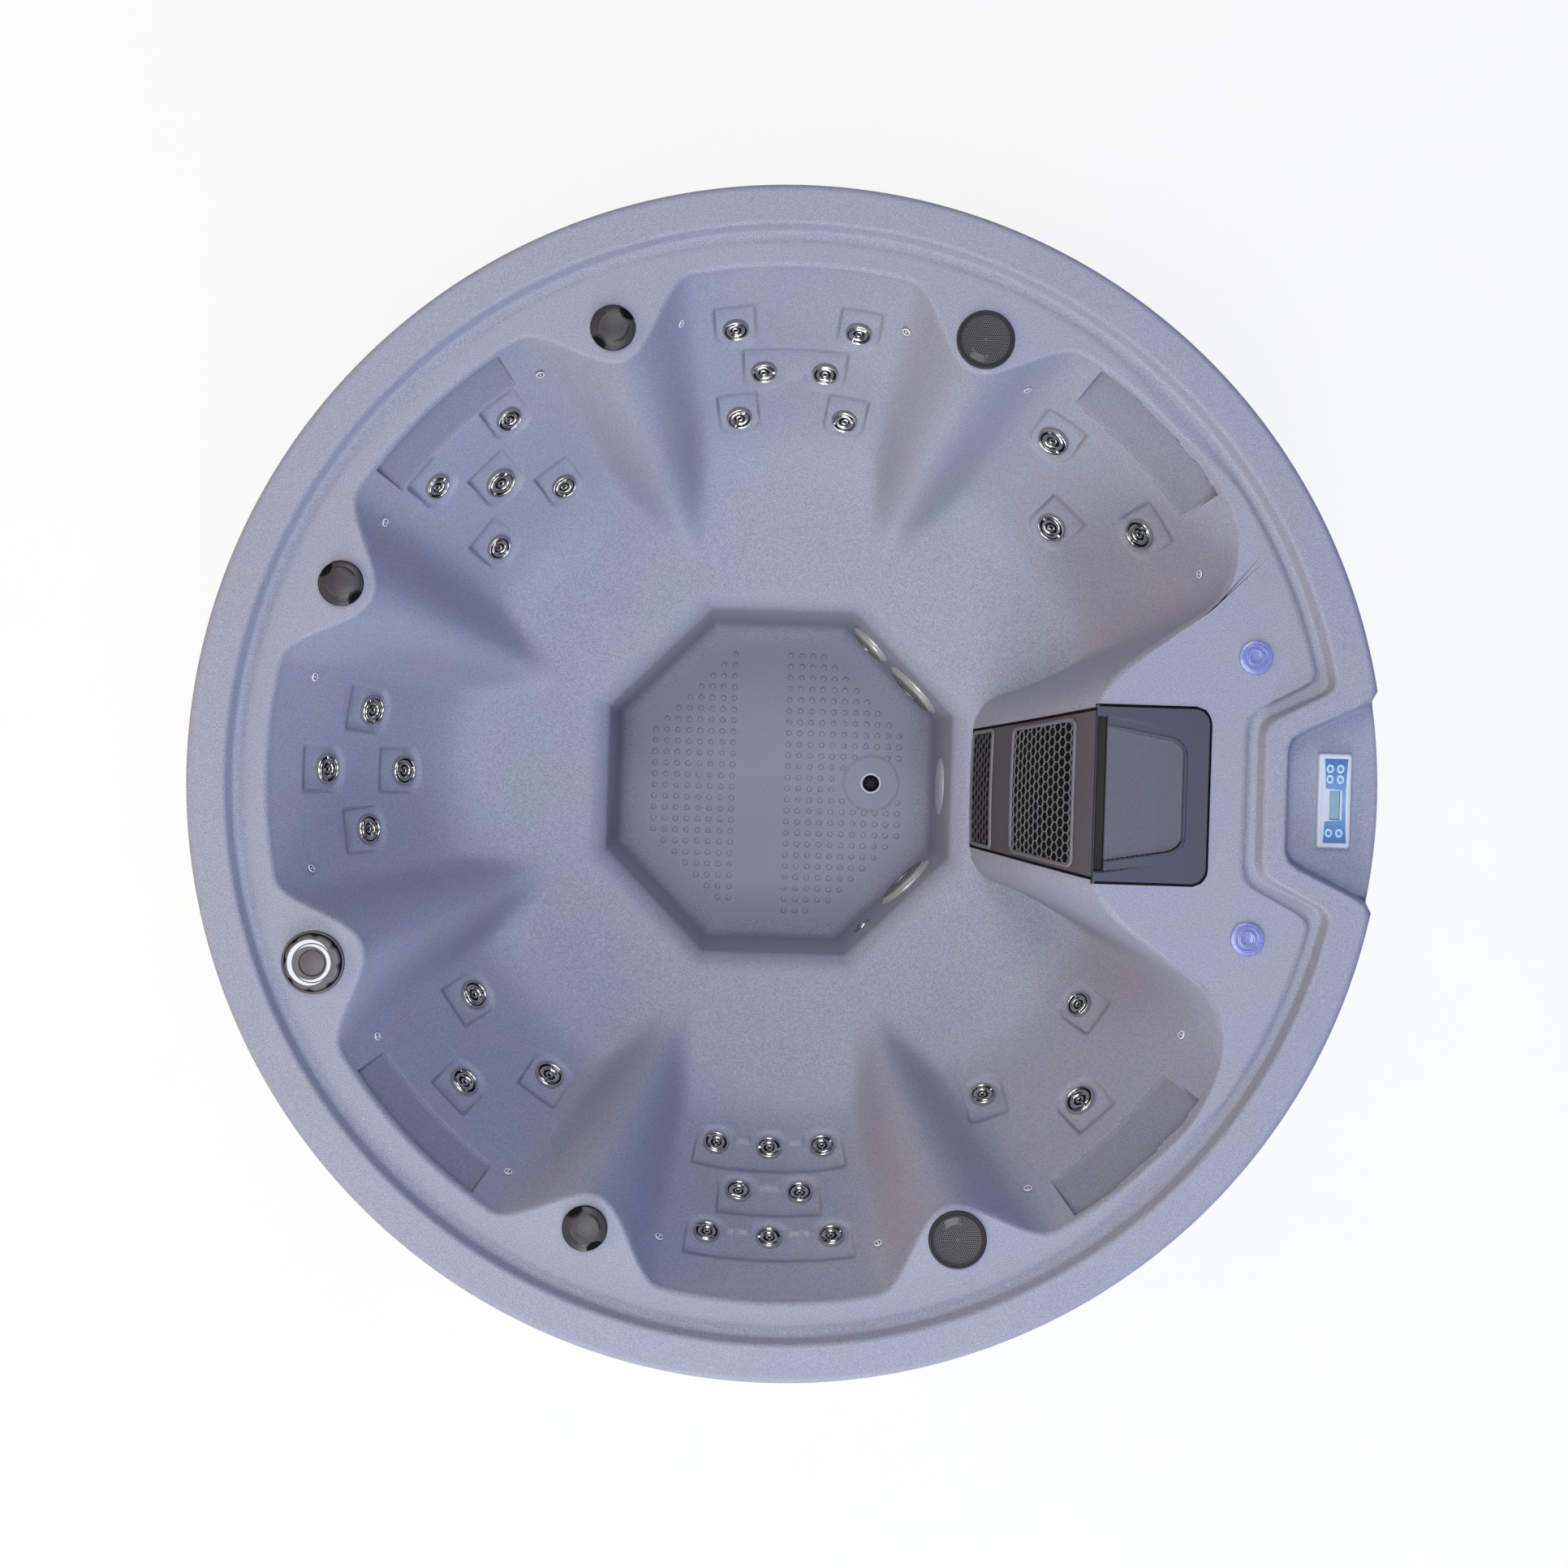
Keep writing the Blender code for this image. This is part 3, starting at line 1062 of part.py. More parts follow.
def wall_frame(degrees, lateral, drop):
    """Frame on a footwell wall: lateral along the wall, drop below the seats, facing the middle."""
    angle = math.radians(degrees)
    share = (drop - FOOTWELL_EDGE) / (FOOTWELL_DEPTH - FOOTWELL_EDGE - FOOTWELL_FILLET)
    reach = FOOTWELL_APOTHEM - FOOTWELL_TAPER * share
    outward = Vector((math.cos(angle), math.sin(angle), 0.0))
    side = Vector((-math.sin(angle), math.cos(angle), 0.0))
    spot = reach * outward + lateral * side + Vector((0.0, 0.0, SEAT_Z - drop))
    slope = FOOTWELL_TAPER / (FOOTWELL_DEPTH - FOOTWELL_EDGE - FOOTWELL_FILLET)
    return frame_matrix(spot, -outward + Vector((0.0, 0.0, slope)))


def make_footwell_fittings():
    middle = 0.5 * FOOTWELL_DEPTH
    turned_part("footwell_light", flat_backed(seated(LENS_SHARES, LIGHT_RADIUS, LIGHT_HEIGHT)), 16,
                LENS_MATERIAL, wall_frame(0.0, 0.0, middle))
    for name, (degrees, place_share) in COVER_PLACES_SHARES.items():
        radius = SMALL_SUCTION_RADIUS if "small" in name else SUCTION_RADIUS
        turned_part(name, flat_backed(seated(COVER_SHARES, radius, SUCTION_HEIGHT)), 14, CHROME_MATERIAL,
                    wall_frame(degrees, place_share * FOOTWELL_WALL_HALF, middle))
    drain = stemmed(seated(DRAIN_SHARES, DRAIN_RADIUS, DRAIN_HEIGHT), SHELL_WALL)
    turned_part("drain", drain, 16, LENS_MATERIAL, Matrix.Translation(drain_spot()))


# Control panel

def rounded_rectangle(width, length, corner):
    points = []
    for quarter in range(4):
        middle_x = (0.5 * width - corner) * (1.0 if quarter in (0, 3) else -1.0)
        middle_y = (0.5 * length - corner) * (1.0 if quarter in (0, 1) else -1.0)
        for step in range(3):
            turn = 0.5 * math.pi * (quarter + step / 2.0)
            points.append((middle_x + corner * math.cos(turn), middle_y + corner * math.sin(turn)))
    return points


def oval(width, length, points=12):
    turns = [2.0 * math.pi * i / points for i in range(points)]
    return [(0.5 * width * math.cos(turn), 0.5 * length * math.sin(turn)) for turn in turns]


def make_control_panel():
    base = Vector((RIM_RADIUS - PANEL_OFFSET, 0.0, BAY_Z + SEAT_GAP))
    top = base + Vector((0.0, 0.0, PANEL_HEIGHT))
    panel = place(plate_mesh("control_panel", [rounded_rectangle(PANEL_WIDTH, PANEL_LENGTH, PANEL_CORNER)],
                             PANEL_HEIGHT), "control_panel", PANEL_MATERIAL, PARTS, Matrix.Translation(base))
    display = plate_mesh("display_recess", [rounded_rectangle(DISPLAY_WIDTH, DISPLAY_LENGTH, DISPLAY_DEPTH)],
                         2.0 * DISPLAY_DEPTH)
    boolean(panel, place_cutter(display, "display_recess",
                                Matrix.Translation(top + Vector((0.0, DISPLAY_PLACE_SHARE * PANEL_LENGTH,
                                                                 -DISPLAY_DEPTH)))))
    key_mesh = plate_mesh("key_shape", [oval(KEY_WIDTH, KEY_LENGTH)], KEY_HEIGHT)
    key_mesh.materials.append(KEY_MATERIAL)
    well_mesh = plate_mesh("key_wells", [oval(KEY_WIDTH + 2.0 * KEY_GAP, KEY_LENGTH + 2.0 * KEY_GAP)],
                           2.0 * KEY_WELL)
    for number, (across, along) in enumerate(KEY_PLACES_SHARES, start=1):
        floor = top + Vector((across * KEY_PITCH, along * PANEL_LENGTH, -KEY_WELL))
        boolean(panel, place_cutter(well_mesh, f"key_well_{number}", Matrix.Translation(floor)))
        lift = Vector((0.0, 0.0, KEY_TRAVEL + SEAT_GAP))
        place(key_mesh, f"panel_key_{number}", KEY_MATERIAL, PARTS, Matrix.Translation(floor + lift))


clear_scene()
PARTS = make_collection("hot_tub")
CUTTERS = make_collection("cutters")
SHELL_MATERIAL = make_material("granite_shell", (0.38, 0.40, 0.49), 0.62)
CABINET_MATERIAL = make_material("cabinet_wall", (0.30, 0.31, 0.36), 0.65)
DARK_MATERIAL = make_material("dark_grey_moulding", (0.045, 0.045, 0.055), 0.45)
CHROME_MATERIAL = make_material("chrome", (0.75, 0.76, 0.78), 0.12, 1.0)
KNOB_MATERIAL = make_material("smoke_knob", (0.09, 0.085, 0.10), 0.35)
CAP_MATERIAL = make_material("blue_cap", (0.30, 0.32, 0.75), 0.25)
LENS_MATERIAL = make_material("clear_lens", (0.70, 0.74, 0.82), 0.20)
PANEL_MATERIAL = make_material("panel_frame", (0.66, 0.67, 0.73), 0.40)
KEY_MATERIAL = make_material("panel_key", (0.55, 0.75, 0.85), 0.35)
PUMP_MATERIAL = make_material("pump_black", (0.03, 0.03, 0.035), 0.50)
PAPER_MATERIAL = make_material("filter_pleats", (0.80, 0.80, 0.78), 0.85)


def main():
    bm = loft(shell_rings())
    surface = BVHTree.FromBMesh(bm)
    bm.free()
    frames = []
    for seat, jets in JET_PLACES_SHARES.items():
        for index, (lateral, height, size) in enumerate(jets):
            frame = backrest_place(surface, seat, lateral, height)
            frames.append((pocket_tilt(frame, JET_SIZES[size]), size, index % POCKET_SETS))
    bridges = []
    for seat, places in BRIDGE_PLACES_SHARES.items():
        for index, (lateral, height) in enumerate(places):
            frame = backrest_place(surface, seat, lateral, height)
            bridges.append((pocket_tilt(frame, JET_FACE_RADIUS), index % BRIDGE_SETS))
    floor_holes = [(FITTING_STEM_RADIUS + JET_BORE_GAP, drain_spot())]
    make_shell(frames, bridges, turning_spots(), floor_holes)
    make_jets(frames)
    make_filter()
    make_cabinet()
    make_equipment()
    make_deck_fittings()
    make_footwell_fittings()
    make_control_panel()


main()
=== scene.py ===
import json
import math
from bisect import bisect_left

import bmesh
import bpy
from bpy.props import FloatProperty, FloatVectorProperty, IntProperty, PointerProperty
from mathutils import Matrix, Vector
from mathutils.bvhtree import BVHTree


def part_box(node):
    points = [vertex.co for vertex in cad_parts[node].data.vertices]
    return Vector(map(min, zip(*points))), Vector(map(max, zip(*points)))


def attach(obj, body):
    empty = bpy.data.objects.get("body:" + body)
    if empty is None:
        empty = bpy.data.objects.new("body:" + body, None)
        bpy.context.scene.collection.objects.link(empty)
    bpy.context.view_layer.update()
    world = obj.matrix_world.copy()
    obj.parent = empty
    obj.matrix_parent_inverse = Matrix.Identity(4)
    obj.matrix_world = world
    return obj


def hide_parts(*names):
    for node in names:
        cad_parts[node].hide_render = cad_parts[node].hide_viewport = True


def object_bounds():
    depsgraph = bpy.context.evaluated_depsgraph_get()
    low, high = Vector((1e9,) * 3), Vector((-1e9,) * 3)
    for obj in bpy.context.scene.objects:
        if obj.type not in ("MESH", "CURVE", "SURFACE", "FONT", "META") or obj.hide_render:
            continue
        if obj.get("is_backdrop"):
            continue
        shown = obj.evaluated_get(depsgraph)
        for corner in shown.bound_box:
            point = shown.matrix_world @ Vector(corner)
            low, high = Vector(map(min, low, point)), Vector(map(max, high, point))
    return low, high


bl_info = {
    "name": "Hot Tub Dresser",
    "version": (1, 0, 0),
    "blender": (4, 5, 0),
    "location": "View3D > Sidebar > Hot Tub",
    "description": "Finished surfaces, fittings and stage for the packed hot tub",
    "category": "Object",
}

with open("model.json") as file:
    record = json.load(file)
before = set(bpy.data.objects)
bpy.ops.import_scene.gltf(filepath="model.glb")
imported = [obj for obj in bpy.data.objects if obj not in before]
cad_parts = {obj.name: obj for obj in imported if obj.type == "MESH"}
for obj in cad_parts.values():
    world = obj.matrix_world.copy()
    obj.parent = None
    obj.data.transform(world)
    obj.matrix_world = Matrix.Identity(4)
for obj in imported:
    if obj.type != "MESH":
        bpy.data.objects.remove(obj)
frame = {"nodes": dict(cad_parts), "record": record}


def length(name, description, default):
    return FloatProperty(name=name, description=description, default=default, unit="LENGTH", precision=5)


def colour(name, description, default):
    return FloatVectorProperty(name=name, description=description, default=default, size=3, min=0.0, max=1.0,
                               subtype="COLOR")


def number(name, description, default, **more):
    return FloatProperty(name=name, description=description, default=default, **more)


class TubShellSettings(bpy.types.PropertyGroup):
    """Sizes of the moulded shell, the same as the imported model's."""
    rim_radius: length("Rim radius", "Outer radius of the rim", 1.0)
    rim_height: length("Rim height", "Height of the rim above the ground", 0.88)
    lip_drop: length("Lip drop", "Depth of the rim's outer lip", 0.11)
    lip_wall: length("Lip wall", "Thickness of the lip's lower edge", 0.012)
    rim_width: length("Rim width", "Width of the flat rim", 0.065)
    rim_edge: length("Rim edge", "Run of the rim's outer slope", 0.006)
    groove_width: length("Groove width", "Width of the groove inside the rim", 0.03)
    groove_depth: length("Groove depth", "Depth of the groove below the rim", 0.03)
    groove_slope: length("Groove slope", "Run of the groove's outer wall", 0.01)
    deck_drop: length("Deck drop", "Depth of the deck below the rim", 0.022)
    deck_width: length("Deck width", "Narrowest width of the deck", 0.043)
    lip_step: length("Lip step", "Run of the groove's inner wall", 0.007)
    backrest_run: length("Backrest run", "Plan depth of a backrest", 0.302)
    seat_depth: length("Seat depth", "Depth of the seats below the rim", 0.42)
    seat_run: length("Seat run", "Plan depth of a seat", 0.25)
    basin_edge: length("Basin edge", "Rounding where the deck turns down", 0.007)
    peninsula_reach: length("Peninsula reach", "How far the deck comes in between seats", 0.112)
    ridge_reach: length("Ridge reach", "How far a ridge's foot comes in between seats", 0.11)
    front_seat_extra: length("Front seat extra", "Extra depth of the seats beside the filter", 0.013)
    footwell_depth: length("Footwell depth", "Depth of the footwell below the seats", 0.36)
    footwell_edge: length("Footwell edge", "Slope at the footwell's top", 0.018)
    footwell_taper: length("Footwell taper", "How much the footwell narrows", 0.01)
    footwell_fillet: length("Footwell fillet", "Rounding at the footwell's floor", 0.016)
    bay_reach: length("Bay reach", "How far the control bay comes in", 0.164)
    bay_depth: length("Bay depth", "Depth of the bay below the rim", 0.06)
    bay_width: length("Bay width", "Width of the bay's inner edge", 0.21)
    bay_frame: length("Bay frame", "Width of the rim round the bay", 0.038)
    bay_wall_run: length("Bay wall run", "Run of the bay's walls", 0.009)
    pocket_side: length("Pocket side", "Room beside a jet in its pocket", 0.015)
    pocket_above: length("Pocket above", "Room above a jet in its pocket", 0.044)
    pocket_below: length("Pocket below", "Room below a jet in its pocket", 0.017)
    pocket_wall: length("Pocket wall", "Length of a pocket's sloping upper wall", 0.017)
    pillow_recess: length("Pillow recess", "Depth of the head zones in the corner seats", 0.0030)
    spokes: IntProperty(name="Spokes", description="Columns of the shell's surface", default=384, min=64)
    wall_rows: IntProperty(name="Wall rows", description="Rows down each backrest", default=38, min=8)


class TubFilterSettings(bpy.types.PropertyGroup):
    """Sizes of the filter lid, fascia and grilles."""
    front: length("Front", "Distance of the fascia's foot from the middle", 0.346)
    run: length("Run", "Plan depth of the fascia", 0.169)
    foot_width: length("Foot width", "Width of the fascia at its foot", 0.213)
    top_width: length("Top width", "Width of the fascia at the lid", 0.289)
    lid_length: length("Lid length", "Length of the lid", 0.196)
    lid_width: length("Lid width", "Width of the lid", 0.302)
    lid_corner: length("Lid corner", "Radius of the lid's back corners", 0.03)
    lid_thickness: length("Lid thickness", "Thickness of the lid", 0.0177)
    proud: length("Proud", "Height of the lid above the deck", 0.003)
    gap: length("Gap", "Gap round the lid and fascia", 0.0006)
    cell_pitch: length("Cell pitch", "Spacing of the honeycomb's cells", 0.0170)
    cell_wall: length("Cell wall", "Thickness of the honeycomb's walls", 0.0015)
    cell_depth: length("Cell depth", "Depth of the honeycomb's walls", 0.004)
    frame_width: length("Frame width", "Width of the grilles' rounded frames", 0.007)


class TubFinishSettings(bpy.types.PropertyGroup):
    """Colours of the finishes, as linear values."""
    shell: colour("Shell", "Moulded shell", (0.345, 0.352, 0.435))
    shell_fleck: colour("Shell fleck", "Fine flecks in the shell", (0.225, 0.232, 0.295))
    # Head zones: a darker copy of the shell colour, painted shade for their steeper slope
    headrest: colour("Headrest", "Head zones of the corner seats", (0.262, 0.270, 0.340))
    cabinet: colour("Cabinet", "Skirt and access panel", (0.285, 0.295, 0.350))
    moulding: colour("Moulding", "Dark lid", (0.062, 0.066, 0.098))
    dish: colour("Dish", "Dish in the lid", (0.112, 0.114, 0.146))
    # Near black for the finger slot's floor and the dish's walls facing +Y: painted shade
    slot: colour("Slot", "Finger slot in the lid", (0.030, 0.026, 0.024))
    fascia: colour("Fascia", "Dark fascia", (0.088, 0.080, 0.088))
    collar: colour("Collar", "Satin collars round the jets", (0.230, 0.222, 0.232))
    grille: colour("Grille", "Honeycomb walls", (0.190, 0.180, 0.180))
    # Near black that stands for the shade inside holes, gaps and grooves: painted shade
    hollow: colour("Hollow", "Dark hollows", (0.008, 0.008, 0.009))
    trim: colour("Trim", "Frames round the grilles", (0.150, 0.148, 0.172))
    steel: colour("Steel", "Bright jets and fittings", (0.620, 0.600, 0.590))
    brushed: colour("Brushed steel", "Pressed suction covers", (0.780, 0.740, 0.700))
    knob: colour("Knob", "Dark control knobs", (0.052, 0.046, 0.052))
    handle: colour("Handle", "Diverter handle", (0.120, 0.106, 0.115))
    mark: colour("Mark", "Pale arcs on the diverter", (0.720, 0.720, 0.780))
    speaker: colour("Speaker", "Bezels of the speakers", (0.036, 0.033, 0.040))
    mesh: colour("Mesh", "Discs of the speakers", (0.110, 0.102, 0.115))
    cap: colour("Cap", "Translucent blue caps", (0.310, 0.340, 0.740))
    # Darker blue for the steep walls of the caps' rings: painted shade
    cap_line: colour("Cap line", "Deeper rings in the blue caps", (0.090, 0.105, 0.380))
    lens: colour("Lens", "Footwell lens and light rings", (0.560, 0.580, 0.680))
    panel: colour("Panel", "Control panel frame", (0.680, 0.690, 0.760))
    overlay: colour("Overlay", "Blue field of the control panel", (0.060, 0.150, 0.380))
    overlay_light: colour("Overlay light", "Paler middle of the blue field", (0.190, 0.380, 0.620))
    display: colour("Display", "Display glass", (0.300, 0.440, 0.520))
    key: colour("Key", "Control panel keys", (0.560, 0.780, 0.900))
    pump: colour("Pump", "Pump and heater", (0.030, 0.030, 0.034))
    pleats: colour("Pleats", "Filter cloth", (0.700, 0.700, 0.670))


class TubStageSettings(bpy.types.PropertyGroup):
    """Camera and lamps."""
    camera_x: length("Camera X", "Camera's distance along the axis", -0.13)
    camera_y: length("Camera Y", "Camera's distance across the axis", 0.04)
    camera_height: length("Camera height", "Camera's height above the rim", 5.0)
    camera_turn: number("Camera turn", "Turn of the picture", math.radians(1.8), subtype="ANGLE")
    focal: number("Focal length", "Focal length in millimetres", 68.94)
    floor: colour("Floor", "Floor colour", (0.930, 0.930, 0.930))
    floor_lift: number("Floor lift", "Share of white the floor shows the camera", 0.86)
    power: number("Power", "Strength of all the lamps together", 0.97)
    world: number("World", "Strength of the surrounding light", 0.10)


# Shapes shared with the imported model

SECTOR = math.radians(45.0)
# Shares of plan and depth down a backrest, and the bend of the fascia's curve
BACKREST_KNOTS = ((-0.19, -0.23), (0.0, 0.035), (0.22, 0.30), (0.46, 0.58), (0.70, 0.83), (0.88, 0.96),
                  (1.08, 1.0), (1.30, 1.0))
NOSE_BEND = (0.576, 0.22)
# Plan points beside the filter's pillar, as shares of the basin's radius
PILLAR_EDGE = ((0.832, 0.390), (0.857, 0.500), (0.807, 0.624))
PILLAR_FOOT = ((0.528, 0.223), (0.609, 0.274), (0.594, 0.331), (0.531, 0.406))
# Bridges between jet pockets: by the seat's direction in degrees, their places across and up its backrest
BRIDGES = {90: ((0.0, 0.515),),
           -90: ((-0.185, 0.295), (0.185, 0.295), (0.0, 0.515), (-0.175, 0.725), (0.175, 0.725))}
PILLAR_MARGIN = 0.030
BASIN_FLAT_SHARE = 0.55
FOOT_FLAT_SHARE = 0.62
BAY_MOUTH = math.radians(10.0)
BAY_CHORD = (0.985, 0.0868)
# Rounding of the shell's corners from the lip inwards, and radii of the rows of the footwell's floor
CORNER_RADII = (0.001, 0.003, 0.006, 0.005, 0.005, 0.005, 0.005, 0.005, 0.006, 0.006, 0.004)
FLOOR_RADII = [0.238 - 0.012 * row for row in range(10)] + [0.05, 0.0]
# Light rings: direction in degrees and distance from the middle
LIGHT_PLACES = ((104.4, 0.801), (76.6, 0.798), (60.0, 0.788), (28.5, 0.794), (-30.5, 0.804), (-57.1, 0.807),
                (-76.6, 0.800), (-103.6, 0.801), (-123.6, 0.811), (-146.3, 0.815), (-168.0, 0.816),
                (169.0, 0.818), (148.6, 0.810), (122.6, 0.810))
SEAT_GAP = 0.0003
WELD = 0.000002
FULL_TURN = 2.0 * math.pi
FINISHES = {}


def lerp(low, high, share):
    return low + (high - low) * share


def clamp(share):
    return min(max(share, 0.0), 1.0)


def smooth(share):
    share = clamp(share)
    return share * share * (3.0 - 2.0 * share)


def polar(radius, angle):
    return Vector((radius * math.cos(angle), radius * math.sin(angle)))


def path_point(points, share):
    """Point on a smooth curve through all the points but the first and the last."""
    place = clamp(share) * (len(points) - 3)
    start = min(int(place), len(points) - 4)
    t = place - start
    a, b, c, d = (Vector(points[start + i]) for i in range(4))
    return 0.5 * ((2.0 * b) + (c - a) * t + (2.0 * a - 5.0 * b + 4.0 * c - d) * t ** 2
                  + (3.0 * b - a - 3.0 * c + d) * t ** 3)


class ShellShape:
    """The moulded surface as curves: one list of points down each spoke."""

    def __init__(self, s, f):
        self.s = s
        self.f = f
        self.groove = s.rim_radius - s.rim_width
        self.deck = self.groove - s.groove_width
        self.basin = self.deck - s.deck_width
        self.tip = self.basin - s.peninsula_reach
        self.foot = self.basin - s.backrest_run
        self.ridge = self.foot - s.ridge_reach
        self.apothem = self.foot - s.seat_run
        self.rim_z = s.rim_height
        self.deck_z = s.rim_height - s.deck_drop
        self.bay_z = s.rim_height - s.bay_depth
        self.seat_z = s.rim_height - s.seat_depth
        self.floor_z = self.seat_z - s.footwell_depth

    def lobed(self, angle, seat_radius, ridge_radius, flat_share):
        """Radius of a scalloped outline: widest over each seat, drawn in at the ridges between them."""
        nearest = round(angle / SECTOR) * SECTOR
        share = abs(angle - nearest) / (0.5 * SECTOR)
        share = max(share - flat_share, 0.0) / (1.0 - flat_share)
        drawn_in = 0.5 - 0.5 * math.cos(math.pi * share ** 0.8)
        widened = seat_radius + self.s.front_seat_extra * smooth(1.0 - abs(angle - SECTOR) / (0.5 * SECTOR))
        return lerp(widened, ridge_radius, drawn_in)

    def pillar_path(self, nose, half, rows, edge, seat, inward):
        """Plan points round the filter's pillar, from its nose to the seat beside it."""
        points = [(nose, -inward * half), (nose, 0.0), (nose, inward * half), rows[0], rows[1]]
        points += edge
        points += [tuple(polar(seat, SECTOR)), tuple(polar(seat, SECTOR * 1.125))]
        return points

    def basin_edge(self, angle):
        """Plan point where the deck turns down into the seats."""
        if angle >= SECTOR:
            return polar(self.lobed(angle, self.basin, self.tip, BASIN_FLAT_SHARE), angle)
        nose = self.f.front + self.f.run + 0.2 * PILLAR_MARGIN
        half = 0.5 * self.f.top_width
        after = (nose + PILLAR_MARGIN, half + 2.0 * PILLAR_MARGIN)
        edge = [(x * self.basin, y * self.basin) for x, y in PILLAR_EDGE]
        middle = Vector(after).lerp(Vector(edge[0]), 0.52)
        seat = self.lobed(SECTOR, self.basin, self.tip, BASIN_FLAT_SHARE)
        points = self.pillar_path(nose, half, ((nose, half), after), [tuple(middle)] + edge, seat, 0.5)
        return path_point(points, angle / SECTOR)

    def basin_foot(self, angle):
        """Plan point where a backrest or the fascia's pillar meets the seats."""
        if angle >= SECTOR:
            return polar(self.lobed(angle, self.foot, self.ridge, FOOT_FLAT_SHARE), angle)
        nose = self.f.front + 0.13 * PILLAR_MARGIN
        half = 0.5 * self.f.foot_width
        rows = ((nose, half + 0.5 * PILLAR_MARGIN), (nose + PILLAR_MARGIN, half + 1.8 * PILLAR_MARGIN))
        edge = [(x * self.basin, y * self.basin) for x, y in PILLAR_FOOT]
        seat = self.lobed(SECTOR, self.foot, self.ridge, FOOT_FLAT_SHARE)
        return path_point(self.pillar_path(nose, half, rows, edge, seat, 0.6), angle / SECTOR)

    def octagon(self, angle, apothem):
        return polar(apothem / math.cos(angle - round(angle / SECTOR) * SECTOR), angle)

    def bay_outline(self, angle, radius, reach_x, half, mouth):
        """Plan point of a round line that comes in round the control bay."""
        share = angle / SECTOR
        if share >= 1.0:
            return polar(radius, angle)
        corner = Vector((reach_x, half))
        if share < 0.125:
            return Vector((reach_x, half * share / 0.125))
        if share < 0.25:
            return corner.lerp(polar(radius, mouth), (share - 0.125) / 0.125)
        return polar(radius, lerp(mouth, SECTOR, (share - 0.25) / 0.75))

    def eased_bay(self, angle, *shape):
        """Bay outline with its corners rounded, by averaging it over a small angle."""
        total = Vector((0.0, 0.0))
        for step in (-2, -1, 0, 1, 2):
            turned = angle + step * math.radians(0.40)
            point = self.bay_outline(abs(turned), *shape)
            total += point if turned >= 0.0 else Vector((point.x, -point.y))
        return total / 5.0

    def nose_weight(self, angle):
        """1 on the pillar's nose, where the wall follows the fascia, 0 on the backrests."""
        return 1.0 - smooth((angle / SECTOR - 0.25) / 0.25)

    def deck_edge(self, angle):
        """Plan point on the deck just outside its rounded edge."""
        step = SECTOR / 40.0
        before = self.basin_edge(abs(angle - step))
        if angle < step:
            before.y = -before.y
        along = (self.basin_edge(angle + step) - before).normalized()
        return self.basin_edge(angle) + self.s.basin_edge * Vector((along.y, -along.x))

    def wall_point(self, angle, share):
        """Point of the wall between deck and seats, share of the way down."""
        back_plan, back_depth = path_point(BACKREST_KNOTS, share)
        nose_plan, nose_depth = nose_curve(share)
        weight = self.nose_weight(angle)
        spot = self.basin_edge(angle).lerp(self.basin_foot(angle), lerp(back_plan, nose_plan, weight))
        return Vector((spot.x, spot.y, lerp(self.deck_z, self.seat_z, lerp(back_depth, nose_depth, weight))))

    def spoke(self, angle):
        """Points from the lip's lower edge to the middle of the footwell's floor, angle from 0 to pi."""
        s = self.s
        half = 0.5 * s.bay_width
        bay_x = s.rim_radius - s.bay_reach
        frame_x = bay_x - s.bay_frame
        frame_half = half + 0.55 * s.bay_frame
        frame_mouth = BAY_MOUTH + 0.70 * s.bay_frame / s.rim_radius
        inner_x = frame_x - s.groove_width
        inner_half = frame_half + 0.53 * s.groove_width
        inner_mouth = frame_mouth + 0.75 * s.groove_width / s.rim_radius
        foot_mouth = BAY_MOUTH - 0.7 * s.bay_wall_run / s.rim_radius
        open_bay = smooth((0.262 - angle / SECTOR) / 0.024)
        off_corner = abs(math.degrees(angle) % 90.0 - 45.0)
        ease = 0.017 * smooth(1.0 - off_corner / 12.0)
        groove_z = self.rim_z - s.groove_depth + 0.0055 * smooth(angle / SECTOR - 0.45)
        chord = self.bay_outline(angle, s.rim_radius, *BAY_CHORD, BAY_MOUTH)
        plain = polar(s.rim_radius, angle if angle >= SECTOR else math.atan2(chord.y, chord.x))
        lip = plain * (1.0 - s.lip_wall)
        lip_z = self.rim_z - s.lip_drop
        slope = s.groove_slope
        step = s.lip_step
        apothem = self.apothem - s.footwell_taper
        edge = s.footwell_edge

        def eased(z, *shape):
            return raised(self.eased_bay(angle, *shape), z)

        def well(radius, z):
            return raised(self.octagon(angle, radius), z)

